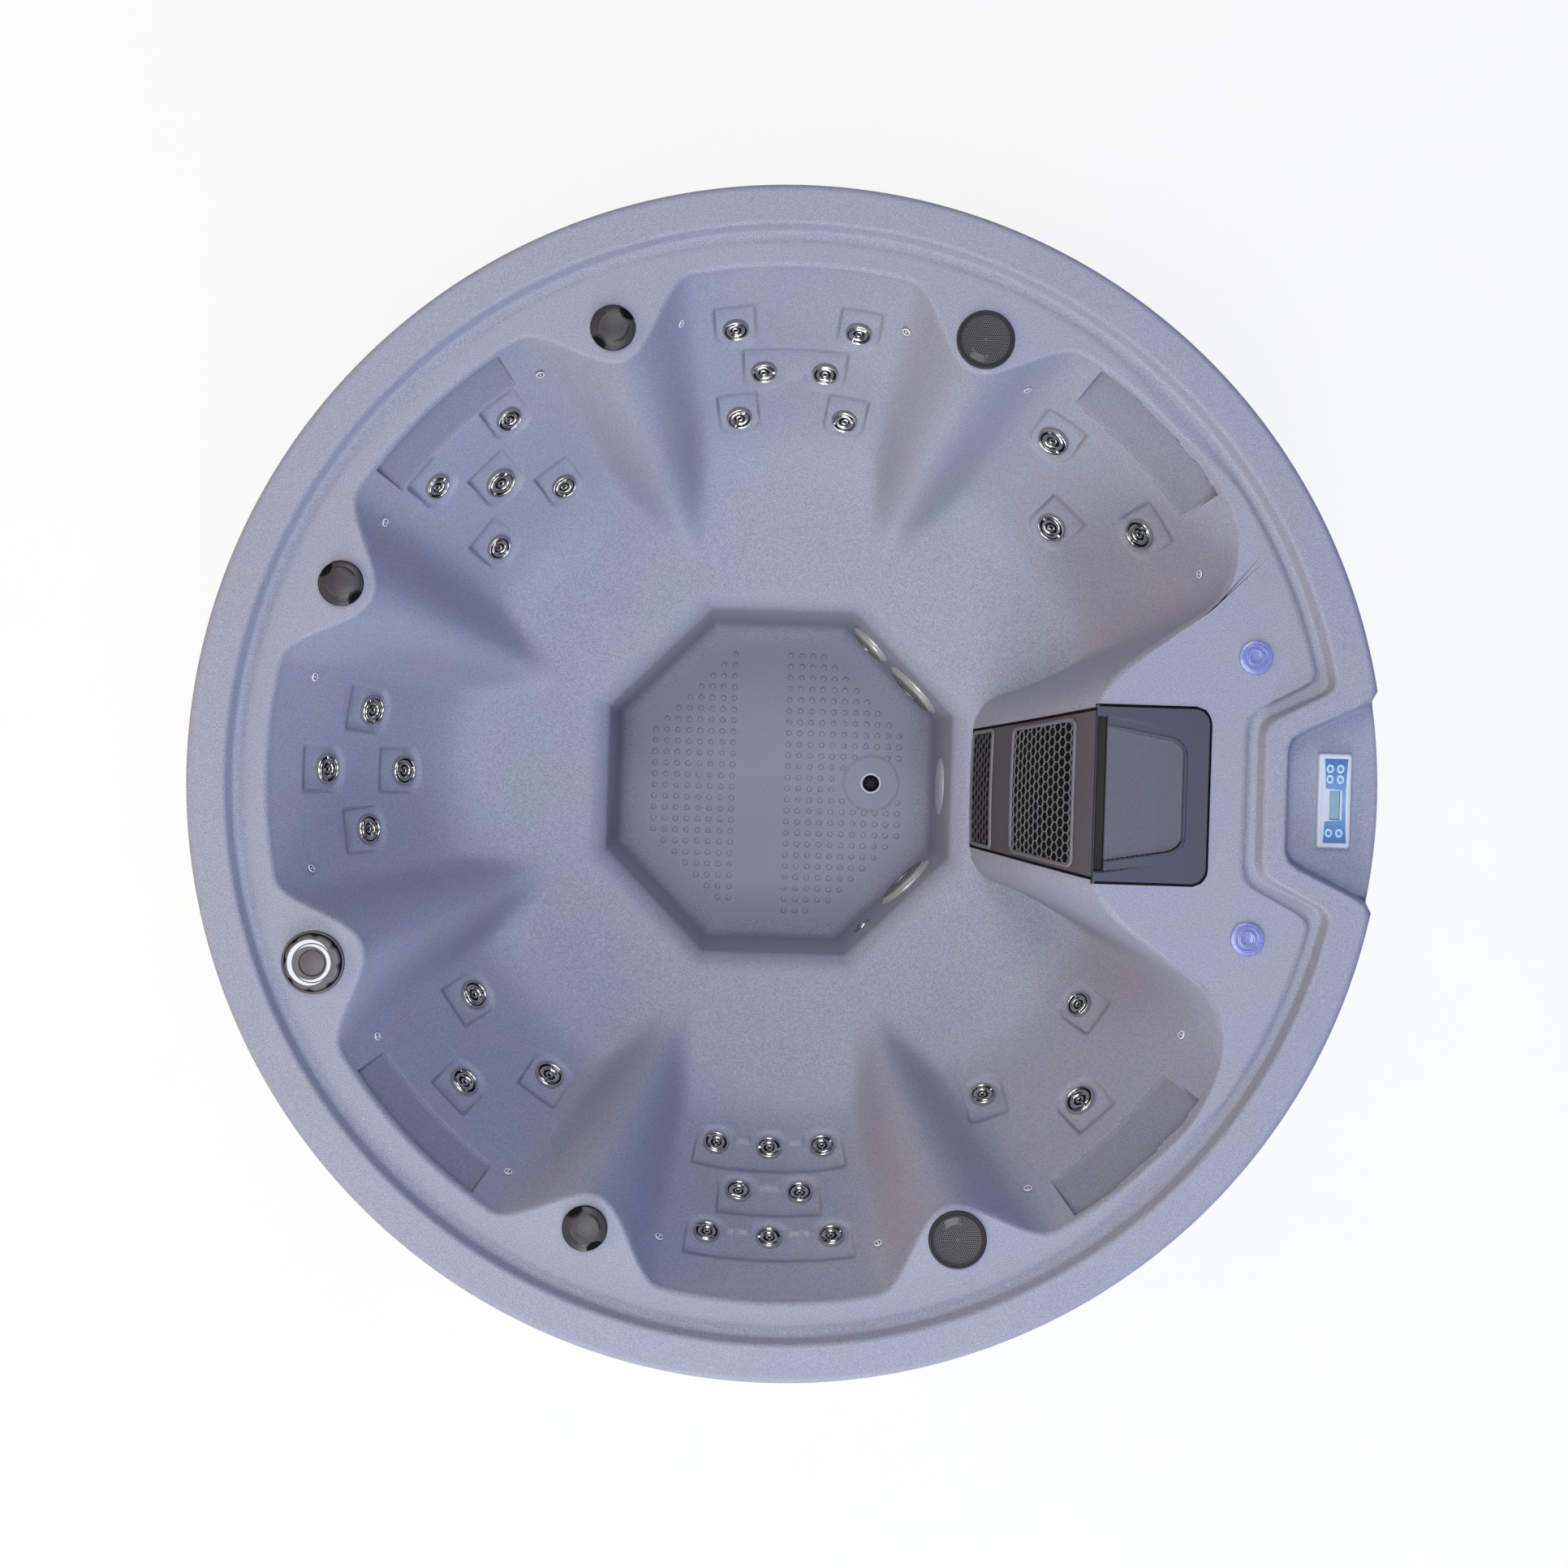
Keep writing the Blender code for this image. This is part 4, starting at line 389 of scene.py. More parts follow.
        corners = [
            raised(lip, self.rim_z - 0.8 * s.lip_drop),
            raised(lip, lip_z),
            raised(plain, lip_z),
            raised(plain, self.bay_z),
            eased(lerp(self.rim_z - 0.10 * s.bay_depth, self.bay_z, open_bay),
                  s.rim_radius, bay_x + s.bay_wall_run, half - s.bay_wall_run, foot_mouth),
            eased(self.rim_z, s.rim_radius - s.rim_edge, bay_x, half, BAY_MOUTH),
            eased(self.rim_z, self.groove, frame_x, frame_half, frame_mouth),
            eased(groove_z, self.groove - slope, frame_x - slope, frame_half + 0.5 * slope, frame_mouth),
            eased(groove_z, self.deck + step, inner_x + step, inner_half - 0.5 * step, inner_mouth),
            eased(self.deck_z, self.deck - ease, inner_x, inner_half, inner_mouth),
            raised(self.deck_edge(angle), self.deck_z),
        ]
        wall = [self.wall_point(angle, i / s.wall_rows) for i in range(s.wall_rows + 1)]
        walls = [
            well(self.apothem + edge + 0.008, self.seat_z),
            well(self.apothem, self.seat_z - edge - 0.006),
            well(apothem, self.floor_z + s.footwell_fillet),
            well(apothem - s.footwell_fillet, self.floor_z),
        ]
        floor = [raised(polar(radius, angle), self.floor_z) for radius in FLOOR_RADII]
        upper = rounded(corners + [wall[0], wall[1]], (*CORNER_RADII, 0.010), 2, True)[:-1]
        lower = rounded([wall[-2], wall[-1]] + walls + [floor[0]], (0.02, 0.016, 0.012, 0.02, 0.02), 3)[1:-1]
        return upper + wall[1:-1] + lower + floor


def raised(point, z):
    return Vector((point.x, point.y, z))


def quarter_turns(steps):
    """Each corner of a rounded rectangle: its two signs and the directions along its arc."""
    for index, (x, y) in enumerate(((1, 1), (-1, 1), (-1, -1), (1, -1))):
        yield x, y, [0.5 * math.pi * (index + step / steps) for step in range(steps + 1)]


def nose_curve(share):
    """Shares of plan and depth down the fascia."""
    return tuple(2.0 * share * (1.0 - share) * bend + share * share for bend in NOSE_BEND)


def rounded(points, radii, steps, held=False):
    """The chain of points with each inner corner a short curve, held by a row on each side if asked."""
    chain = [points[0]]
    for before, corner, after, radius in zip(points, points[1:], points[2:], radii):
        back = before - corner
        ahead = after - corner
        start = corner + back.normalized() * min(radius, 0.46 * back.length)
        end = corner + ahead.normalized() * min(radius, 0.46 * ahead.length)
        if held:
            chain.append(start + back.normalized() * min(0.0012, 0.03 * back.length))
        for index in range(steps + 1):
            t = index / steps
            chain.append(start * (1.0 - t) ** 2 + corner * 2.0 * t * (1.0 - t) + end * t * t)
        if held:
            chain.append(end + ahead.normalized() * min(0.0012, 0.03 * ahead.length))
    return chain + [points[-1]]


# Mesh and object helpers

def grid_surface(bm, columns, rows, place, material=None):
    """A grid whose vertices go where place(u, v) says, both from 0 to 1. Seams are welded by weld()."""
    made = bmesh.ops.create_grid(bm, x_segments=columns, y_segments=rows, size=0.5)["verts"]
    shares = {}
    for vertex in made:
        u = round((vertex.co.x + 0.5) * columns) / columns
        v = round((vertex.co.y + 0.5) * rows) / rows
        shares[vertex] = (u, v)
        vertex.co = place(u, v)
    if material is not None:
        faces = {face for vertex in made for face in vertex.link_faces}
        for face in faces:
            middle = [sum(shares[vertex][axis] for vertex in face.verts) / len(face.verts) for axis in (0, 1)]
            face.material_index = material(*middle)


def lathe(bm, profile, steps, matrix, wide=0.001, high=0.001, bands=None):
    """A turned surface about Z from shares of its width and height. bands gives a material per span."""
    rows = len(profile) - 1

    def place(u, v):
        share, z = profile[round(v * rows)]
        return matrix @ Vector((*polar(share * wide, FULL_TURN * (u % 1.0)), z * high))

    material = None if bands is None else (lambda u, v: bands[int(v * rows)])
    grid_surface(bm, steps, rows, place, material)


def punch(bm, matrix, radius, segments):
    """A flat disc in painted shade that reads as a hole."""
    disc = bmesh.ops.create_circle(bm, cap_ends=True, segments=segments, radius=radius)["verts"]
    disc[0].link_faces[0].material_index = 1
    bmesh.ops.transform(bm, matrix=matrix, verts=disc)


def weld(bm):
    bmesh.ops.remove_doubles(bm, verts=bm.verts[:], dist=WELD)
    bmesh.ops.dissolve_degenerate(bm, edges=bm.edges[:], dist=WELD)
    bmesh.ops.recalc_face_normals(bm, faces=bm.faces[:])


def finish_piece(bm, name, finishes, body="tub", replaced=(), smooth_angle=40.0,
                 outward=True):
    """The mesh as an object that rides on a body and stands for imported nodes, if any."""
    if outward:
        weld(bm)
    mesh = bpy.data.meshes.new(name)
    bm.to_mesh(mesh)
    bm.free()
    for finish in finishes:
        mesh.materials.append(FINISHES[finish])
    mesh.shade_smooth()
    mesh.set_sharp_from_angle(angle=math.radians(smooth_angle))
    piece = bpy.data.objects.new(name, mesh)
    bpy.context.scene.collection.objects.link(piece)
    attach(piece, body)
    if replaced:
        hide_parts(*replaced)


def frame_matrix(origin, normal):
    """Frame with its Z along the normal and its X level."""
    z_axis = normal.normalized()
    x_axis = Vector((0.0, 0.0, 1.0)).cross(z_axis).normalized()
    matrix = Matrix((x_axis, z_axis.cross(x_axis), z_axis)).transposed().to_4x4()
    matrix.translation = origin
    return matrix


def joint_frames(prefix):
    """Joints whose names start with prefix, as (child body, node, frame at the joint)."""
    found = []
    for joint in frame["record"]["behaviour"]["joints"]:
        if joint["name"].startswith(prefix):
            node = frame["record"]["behaviour"]["bodies"][joint["child"]][0]
            axis = Vector(joint["axis"])
            origin = Vector(joint["pos_m"])
            level = abs(axis.z) > 0.999
            matrix = Matrix.Translation(origin) if level else frame_matrix(origin, axis)
            found.append((joint["child"], node, matrix))
    return found


def box_parts(node):
    """Low corner, high corner, middle and half size of a node's box."""
    low, high = (Vector(corner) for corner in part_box(node))
    return low, high, (low + high) / 2.0, 0.5 * (high - low)


def box_middle(node):
    return box_parts(node)[2]


# Materials

def new_material(name):
    material = bpy.data.materials.new(name)
    material.use_nodes = True
    nodes = material.node_tree.nodes
    return material, nodes, material.node_tree.links, nodes["Principled BSDF"]


def add_node(nodes, kind, **inputs):
    node = nodes.new("ShaderNode" + kind)
    for name, value in inputs.items():
        node.inputs[name].default_value = value
    return node


def add_ramp(nodes, low, high, low_at=0.0, high_at=1.0):
    """A colour ramp between two colours, each at its own place."""
    ramp = add_node(nodes, "ValToRGB")
    for element, tint, place in zip(ramp.color_ramp.elements, (low, high), (low_at, high_at)):
        element.position = place
        element.color = (*tint, 1.0)
    return ramp


def object_noise(nodes, links, scale, detail=3.0, stretch=(1.0, 1.0, 1.0)):
    coordinates = add_node(nodes, "TexCoord")
    mapping = add_node(nodes, "Mapping", Scale=stretch)
    noise = add_node(nodes, "TexNoise", Scale=scale, Detail=detail)
    links.new(coordinates.outputs["Object"], mapping.inputs["Vector"])
    links.new(mapping.outputs["Vector"], noise.inputs["Vector"])
    return noise


def bump_from(nodes, links, source, strength, distance, shader):
    bump = add_node(nodes, "Bump", Strength=strength, Distance=distance)
    links.new(source, bump.inputs["Height"])
    links.new(bump.outputs["Normal"], shader.inputs["Normal"])


def grained(name, tint, roughness, scale, amount, bump, fleck=None, stretch=(1.0, 1.0, 1.0), **more):
    """Plastic or metal with a fine grain: two tones mixed by noise, and a bump from the same noise."""
    material, nodes, links, shader = new_material(name)
    dark = fleck or [channel * (1.0 - amount) for channel in tint]
    light = [min(channel * (1.0 + amount), 1.0) for channel in tint]
    noise = object_noise(nodes, links, scale, 4.0, stretch)
    ramp = add_ramp(nodes, dark, light, 0.36, 0.62)
    links.new(noise.outputs["Fac"], ramp.inputs["Fac"])
    broad = object_noise(nodes, links, 7.0, 2.0)
    mix = nodes.new("ShaderNodeMix")
    mix.data_type = "RGBA"
    mix.blend_type = "MULTIPLY"
    mix.inputs["Factor"].default_value = 0.10
    links.new(ramp.outputs["Color"], mix.inputs[6])
    links.new(broad.outputs["Color"], mix.inputs[7])
    links.new(mix.outputs[2], shader.inputs["Base Color"])
    shader.inputs["Roughness"].default_value = roughness
    for look, value in more.items():
        shader.inputs[SHADER_INPUTS[look]].default_value = value
    bump_from(nodes, links, noise.outputs["Fac"], bump, 0.0006, shader)
    return material


SHADER_INPUTS = {"metallic": "Metallic", "transmission": "Transmission Weight", "coat": "Coat Weight",
                 "specular": "Specular IOR Level"}

# Each finish: material name, roughness, grain's scale, contrast and bump, then what isn't plain plastic
FINISH_LOOKS = {
    "shell": ("moulded_shell", 0.60, 640.0, 0.16, 0.35, {}),
    # The head zones' finish is the shell's made darker: painted shade
    "headrest": ("headrest_shell", 0.62, 640.0, 0.16, 0.35, {}),
    "cabinet": ("cabinet_wall_grain", 0.66, 120.0, 0.10, 0.2, {"stretch": (1.0, 1.0, 0.12)}),
    "moulding": ("dark_moulding", 0.42, 640.0, 0.16, 0.22, {"specular": 0.25}),
    "dish": ("lid_dish", 0.48, 640.0, 0.16, 0.22, {"specular": 0.25}),
    # Painted shade of the finger slot and the dish's walls facing +Y
    "slot": ("lid_slot", 0.50, 640.0, 0.20, 0.15, {"specular": 0.1}),
    "fascia": ("fascia_moulding", 0.45, 640.0, 0.16, 0.22, {"specular": 0.35}),
    "collar": ("jet_collar", 0.38, 500.0, 0.06, 0.03, {}),
    "grille": ("honeycomb_wall", 0.40, 500.0, 0.10, 0.05, {"specular": 0.3}),
    # Painted shade: the near black of holes, gaps and grooves
    "hollow": ("dark_hollow", 0.80, 300.0, 0.30, 0.05, {"specular": 0.05}),
    "trim": ("grille_frame", 0.34, 700.0, 0.08, 0.05, {}),
    "steel": ("polished_steel", 0.16, 90.0, 0.05, 0.01, {"metallic": 1.0}),
    "brushed": ("pressed_steel", 0.34, 260.0, 0.10, 0.05, {"metallic": 0.55}),
    "knob": ("smoke_plastic", 0.33, 640.0, 0.16, 0.16, {"specular": 0.3}),
    "handle": ("handle_plastic", 0.36, 640.0, 0.14, 0.12, {"specular": 0.3}),
    "mark": ("pale_mark", 0.35, 300.0, 0.05, 0.02, {}),
    "speaker": ("speaker_plastic", 0.46, 600.0, 0.16, 0.10, {"specular": 0.2}),
    "mesh": ("speaker_disc", 0.42, 600.0, 0.10, 0.06, {"specular": 0.2}),
    "cap": ("tinted_cap", 0.22, 160.0, 0.10, 0.03, {"transmission": 0.25, "coat": 0.3}),
    # Painted shade on the steep walls of the caps' rings
    "cap_line": ("tinted_cap_line", 0.25, 160.0, 0.10, 0.03, {"coat": 0.3}),
    "lens": ("frosted_lens", 0.28, 220.0, 0.08, 0.05, {"transmission": 0.15}),
    "panel": ("panel_frame", 0.40, 400.0, 0.05, 0.04, {}),
    "display": ("display_glass", 0.12, 120.0, 0.05, 0.0, {"coat": 0.5}),
    "key": ("panel_key_face", 0.30, 400.0, 0.05, 0.03, {}),
    "pump": ("pump_moulding", 0.50, 400.0, 0.20, 0.10, {}),
    "pleats": ("filter_cloth", 0.90, 350.0, 0.06, 0.25, {"stretch": (1.0, 1.0, 0.3)}),
}


def make_finishes():
    c = bpy.context.scene.tub_finish
    flecks = {"shell": tuple(c.shell_fleck), "headrest": tuple(0.66 * channel for channel in c.headrest)}
    for finish, (name, roughness, scale, amount, bump, more) in FINISH_LOOKS.items():
        tint = getattr(c, finish)
        FINISHES[finish] = grained(name, tint, roughness, scale, amount, bump, flecks.get(finish), **more)
    FINISHES["overlay"] = overlay_finish(c)


def overlay_finish(c):
    """Blue of the control panel, paler towards its middle."""
    material, nodes, links, shader = new_material("panel_overlay")
    reach = 14.0
    coordinates = add_node(nodes, "TexCoord")
    mapping = add_node(nodes, "Mapping", Location=(0.0, -box_middle("control_panel").y * reach, 0.0),
                       Scale=(0.0, reach, 0.0))
    gradient = add_node(nodes, "TexGradient")
    gradient.gradient_type = "SPHERICAL"
    ramp = add_ramp(nodes, c.overlay, c.overlay_light)
    links.new(coordinates.outputs["Object"], mapping.inputs["Vector"])
    links.new(mapping.outputs["Vector"], gradient.inputs["Vector"])
    links.new(gradient.outputs["Fac"], ramp.inputs["Fac"])
    links.new(ramp.outputs["Color"], shader.inputs["Base Color"])
    shader.inputs["Roughness"].default_value = 0.30
    bump_from(nodes, links, object_noise(nodes, links, 500.0).outputs["Fac"], 0.03, 0.0003, shader)
    return material


def paint_node(name, *finishes):
    node = frame["nodes"][name]
    for index, finish in enumerate(finishes):
        if index < len(node.material_slots):
            node.material_slots[index].material = FINISHES[finish]


# Pieces

def shell_shape():
    scene = bpy.context.scene
    return ShellShape(scene.tub_shell, scene.tub_filter)


def base_shell(shape, columns):
    """The shell's whole surface, from the lip to the floor, as one welded mesh."""
    cache = {}

    def spoke(index):
        folded = min(index, columns - index)
        if folded not in cache:
            cache[folded] = shape.spoke(2.0 * math.pi * folded / columns)
        return cache[folded]

    rows = len(spoke(0)) - 1
    bm = bmesh.new()

    def place(u, v):
        index = round(u * columns) % columns
        point = spoke(index)[round(v * rows)]
        return Vector((point.x, point.y if index <= columns // 2 else -point.y, point.z))

    grid_surface(bm, columns, rows, place)
    bmesh.ops.remove_doubles(bm, verts=bm.verts[:], dist=WELD)
    return bm


def surface_tree(shape):
    bm = base_shell(shape, 128)
    tree = BVHTree.FromBMesh(bm)
    bm.free()
    return tree


def drop_on(tree, radius, angle):
    """Point and normal of the surface below a place in plan."""
    hit = tree.ray_cast(raised(polar(radius, angle), 2.0), Vector((0.0, 0.0, -1.0)))
    if hit[0] is None:
        raise RuntimeError("no shell below a fitting")
    return hit[0], hit[1]


def backrest_frame(tree, shape, seat, lateral, height):
    """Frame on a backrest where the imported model's pockets have theirs."""
    reach = 0.038
    sunk = 0.0045
    tip = -0.054
    angle = math.radians(seat) + lateral * 0.5 * SECTOR
    radius = lerp(shape.foot, shape.basin, height)
    spread = reach / radius
    left, right, low, high, middle = (drop_on(tree, *place)[0] for place in (
        (radius, angle - spread), (radius, angle + spread), (radius - 0.6 * reach, angle),
        (radius + 0.6 * reach, angle), (radius, angle)))
    normal = (high - low).cross(left - right).normalized()
    if normal.z < 0.0:
        normal = -normal
    return frame_matrix(middle, normal) @ Matrix.Translation((0.0, 0.0, -sunk)) @ Matrix.Rotation(tip, 4, "X")


def pocket_mask(u, v, half, top, low, wall):
    """1 on a pocket's flat floor, 0 outside it, with a straight upper wall and a round lower edge."""
    side_edge = 0.0055
    foot_edge = 0.011
    bend = -0.25 * low
    if v >= bend:
        side = (half - abs(u)) / side_edge
        return min(smooth(side), clamp((top - v) / wall))
    reach = low + bend
    inside = 1.0 - math.hypot(u / half, (v - bend) / reach)
    return smooth(inside / lerp(side_edge / half, foot_edge / reach, clamp(abs(v - bend) / reach)))


JET_RADII = {}


def measure_jets():
    """Face radius of each jet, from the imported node's own vertices."""
    for _, node, matrix in joint_frames("jet_"):
        turned = matrix.inverted()
        mesh = frame["nodes"][node].data
        JET_RADII[node] = max((turned @ vertex.co).to_2d().length for vertex in mesh.vertices)


class HOTTUB_OT_shell(bpy.types.Operator):
    """Build the moulded shell with its seats, footwell, control bay and jet pockets"""
    bl_idname = "hottub.shell"
    bl_label = "Shell"

    # Head zones: inner radius, half width and end slope in degrees, other slopes, growth of depth outwards
    HEAD_RADIUS = 0.816
    HEAD_HALF_DEGREES = 9.375
    HEAD_END_DEGREES = 0.234
    HEAD_LOW_SLOPE = 0.0035
    HEAD_TOP_SLOPE = 0.008
    HEAD_BELOW_DECK = 0.0105
    HEAD_DEEPENING = 62.0
    # Bridges between pockets: half width, room above and room below
    BRIDGE = (0.034, 0.023, 0.013)
    POCKET_DEPTH = 0.0035
    POCKET_TOP_DEPTH = 0.0115
    POCKET_REACH = 0.13
    POCKET_HEIGHT = 0.05
    MARGIN = 0.010
    # The only faces that the lines of the filter's opening may cut
    ZONE_X = (0.32, 0.74)
    ZONE_HALF = 0.19
    ZONE_LOW = 0.40

    def execute(self, context):
        s = context.scene.tub_shell
        shape = shell_shape()
        measure_jets()
        tree = surface_tree(shape)
        bm = base_shell(shape, s.spokes)
        self.cut_housing(bm, context.scene.tub_filter)
        pockets = []
        for _, node, matrix in joint_frames("jet_"):
            radius = JET_RADII[node]
            pockets.append((matrix, radius + s.pocket_side, radius + s.pocket_above, radius + s.pocket_below))
        half, high, low = self.BRIDGE
        for seat, places in BRIDGES.items():
            for lateral, height in places:
                matrix = backrest_frame(tree, shape, seat, lateral, height)
                pockets.append((matrix, half, high + s.pocket_above, low))
        pockets = [(pocket[0].inverted(), *pocket) for pocket in pockets]
        self.refine(bm, shape, pockets, s)
        for vertex in bm.verts:
            if self.on_backrest(vertex.co, shape):
                vertex.co = self.pressed(vertex.co, shape, pockets, s)
        self.face_up(bm, shape)
        finish_piece(bm, "moulded_shell", ("shell", "headrest"), "tub", ["tub_shell"], 50.0,
                     outward=False)
        return {"FINISHED"}

    def cut_housing(self, bm, f):
        """Open the shell under the lid and fascia."""
        outline = housing_outline(f)
        centres = ((face, face.calc_center_median()) for face in bm.faces)
        zone = [face for face, centre in centres
                if self.ZONE_X[0] < centre.x < self.ZONE_X[1] and abs(centre.y) < self.ZONE_HALF
                and centre.z > self.ZONE_LOW]
        for index, start in enumerate(outline):
            end = outline[(index + 1) % len(outline)]
            zone = [face for face in zone if face.is_valid]
            around = {e for face in zone for e in face.edges} | {v for face in zone for v in face.verts}
            cut = bmesh.ops.bisect_plane(bm, geom=zone + list(around), plane_co=(start[0], start[1], 0.0),
                                         plane_no=(end[1] - start[1], start[0] - end[0], 0.0), dist=0.00001)
            zone = [item for item in cut["geom"] if isinstance(item, bmesh.types.BMFace)]
        inside = [face for face in zone if face.is_valid and in_outline(face.calc_center_median(), outline)]
        bmesh.ops.delete(bm, geom=inside, context="FACES")

    def refine(self, bm, shape, pockets, s):
        """Finer faces along each pocket's edge and on the head zones, which take a darker copy of the shell's
        finish as painted shade.
        """
        chosen = set()
        for face in bm.faces:
            centre = face.calc_center_median()
            if self.on_backrest(centre, shape) and (
                    self.head_share(centre, shape, 0.012) is not None
                    or any(self.near_edge(centre, *pocket, s.pocket_wall) for pocket in pockets)):
                chosen.add(face)
        edges = [edge for edge in bm.edges if not chosen.isdisjoint(edge.link_faces)]
        bmesh.ops.subdivide_edges(bm, edges=edges, cuts=3, use_grid_fill=True)
        # Head zone faces take the darker copy of the shell: painted shade
        for face in bm.faces:
            centre = face.calc_center_median()
            if self.on_backrest(centre, shape) and self.head_share(centre, shape, 0.0):
                face.material_index = 1

    def near_edge(self, centre, inverse, matrix, half, top, low, wall):
        """Whether a face lies in or round a pocket, but not in the middle of its flat floor."""
        if (centre - matrix.translation).length > self.POCKET_REACH + self.MARGIN:
            return False
        x, y, z = inverse @ centre
        inner = abs(x) < half - 0.014 and -0.5 * low < y < top - wall - 0.008
        around = abs(x) < half + self.MARGIN and -low - self.MARGIN < y < top + self.MARGIN
        return around and not inner and abs(z) < self.POCKET_HEIGHT

    def pressed(self, point, shape, pockets, s):
        """The point pressed into the pockets that it lies in, or else into its head zone."""
        total = Vector((0.0, 0.0, 0.0))
        weights = 0.0
        strongest = 0.0
        for inverse, matrix, half, top, low in pockets:
            if (point - matrix.translation).length > self.POCKET_REACH:
                continue
            x, y, z = inverse @ point
            mask = pocket_mask(x, y, half, top, low, s.pocket_wall)
            if mask > 0.0 and abs(z) <= self.POCKET_HEIGHT:
                weight = mask ** 6
                drop = lerp(-self.POCKET_DEPTH - z, -self.POCKET_TOP_DEPTH, smooth(1.3 * y / top))
                total += weight * drop * matrix.to_3x3().col[2]
                weights += weight
                strongest = max(strongest, mask)
        if weights > 0.0:
            return point + total * (strongest / weights)
        share = self.head_share(point, shape, 0.0)
        if not share:
            return point
        press = Vector((point.x, point.y, 0.0)).normalized() * 0.8 - Vector((0.0, 0.0, 0.6))
        deepening = 1.0 + self.HEAD_DEEPENING * (point.to_2d().length - self.HEAD_RADIUS)
        return point + press * s.pillow_recess * deepening * share

    def on_backrest(self, point, shape):
        return shape.seat_z + 0.01 < point.z < shape.deck_z - 0.006 and point.to_2d().length > shape.ridge

    def head_share(self, point, shape, margin):
        """How far inside a corner seat's head zone the point is: 0 at the edge, 1 well in, None outside."""
        angle = math.degrees(math.atan2(point.y, point.x))
        off = abs((angle % 90.0) - 45.0)
        radius = point.to_2d().length
        half = self.HEAD_HALF_DEGREES
        if not (self.HEAD_RADIUS - margin < radius < shape.basin + 0.012) or off > half + margin * 60.0:
            return None
        if margin > 0.0:
            return 1.0
        return smooth(min((radius - self.HEAD_RADIUS) / self.HEAD_LOW_SLOPE,
                          (half - off) / self.HEAD_END_DEGREES,
                          (shape.deck_z - self.HEAD_BELOW_DECK - point.z) / self.HEAD_TOP_SLOPE))

    def face_up(self, bm, shape):
        """Turn the open surface's faces to the water."""
        bmesh.ops.recalc_face_normals(bm, faces=bm.faces[:])
        middle = Vector((0.0, 0.0, shape.floor_z))
        floor = min(bm.faces, key=lambda face: (face.calc_center_median() - middle).length)
        if floor.normal.z < 0.0:
            bmesh.ops.reverse_faces(bm, faces=bm.faces[:])


def housing_outline(f):
    """Plan outline of the opening for the fascia and the lid."""
    lid_front = f.front + f.run
    back = lid_front + f.lid_length
    side = 0.5 * f.lid_width
    corner = f.lid_corner
    half = [(f.front, 0.5 * f.foot_width), (lid_front, 0.5 * f.top_width), (lid_front, side)]
    for index in range(7):
        turn = 0.5 * math.pi * index / 6.0
        half.append((back - corner + corner * math.sin(turn), side - corner + corner * math.cos(turn)))
    return half + [(x, -y) for x, y in reversed(half)]


def in_outline(point, outline):
    """Whether a point lies inside an outline, by counting the edges that a level line crosses."""
    inside = False
    for index, (ax, ay) in enumerate(outline):
        bx, by = outline[index - 1]
        if (ay > point.y) != (by > point.y) and point.x < (bx - ax) * (point.y - ay) / (by - ay) + ax:
            inside = not inside
    return inside


class HOTTUB_OT_jets(bpy.types.Operator):
    """Build the turned jet faces with their rings and nozzles"""
    bl_idname = "hottub.jets"
    bl_label = "Jets"

    PROFILE = ((0.0, -1.6), (0.09, -1.6), (0.11, 1.0), (0.19, 2.4), (0.27, 1.4), (0.285, -1.8), (0.41, -1.8),
               (0.42, 1.4), (0.47, 2.9), (0.53, 3.4), (0.60, 2.9), (0.645, 1.4), (0.655, -1.6), (0.81, -1.6),
               (0.82, 3.0), (0.86, 4.5), (0.90, 4.9), (0.93, 4.3), (0.94, 3.4), (0.965, 2.9), (0.985, 0.4),
               (1.0, -4.4))
    # Rows in painted shade: the nozzle's hole and the sunk gaps between the rings
    DARK = (0, 1, 5, 12)

    def execute(self, context):
        for body, node, matrix in joint_frames("jet_"):
            number = int(node[-2:])
            turned = matrix @ Matrix.Rotation(math.radians(37.0) * (number % 5) + 0.5, 4, "Z")
            bm = bmesh.new()
            self.face(bm, JET_RADII[node], turned, 0.04 if number % 3 else 0.02)
            finish_piece(bm, node + "_face", ("steel", "hollow", "collar"), body, [node], 60.0)
        return {"FINISHED"}

    def face(self, bm, radius, matrix, aside):
        """Polished rings with two swirls of painted shade between them, for the deep gaps, that taper round
        the face.
        """
        rows = len(self.PROFILE) - 1
        scale = radius * 0.001 / 0.023

        def turn_share(u):
            return (2.0 * u) % 1.0

        def place(u, v):
            row = round(v * rows)
            share, z = self.PROFILE[row]
            half = turn_share(u)
            if row in (12, 13):
                z = lerp(3.0, z, smooth(half / 0.05) * smooth((0.97 - half) / 0.08))
            if 8 <= row <= 12:
                share += 0.155 * half * smooth((0.99 - half) / 0.10) * smooth((share - 0.42) / 0.22)
            if row == 6:
                share -= 0.05 * half
            spot = polar(share * radius, FULL_TURN * (u % 1.0))
            if row < 6:
                spot.x += aside * radius
            return matrix @ raised(spot, z * scale * (0.68 if z > 0.0 else 0.85))

        def band(u, v):
            row = int(v * rows)
            if row == 12:
                return 1 if 0.03 < turn_share(u) < 0.93 else 0
            if row > 17:
                return 2
            return 1 if row in self.DARK else 0

        grid_surface(bm, 64, rows, place, band)


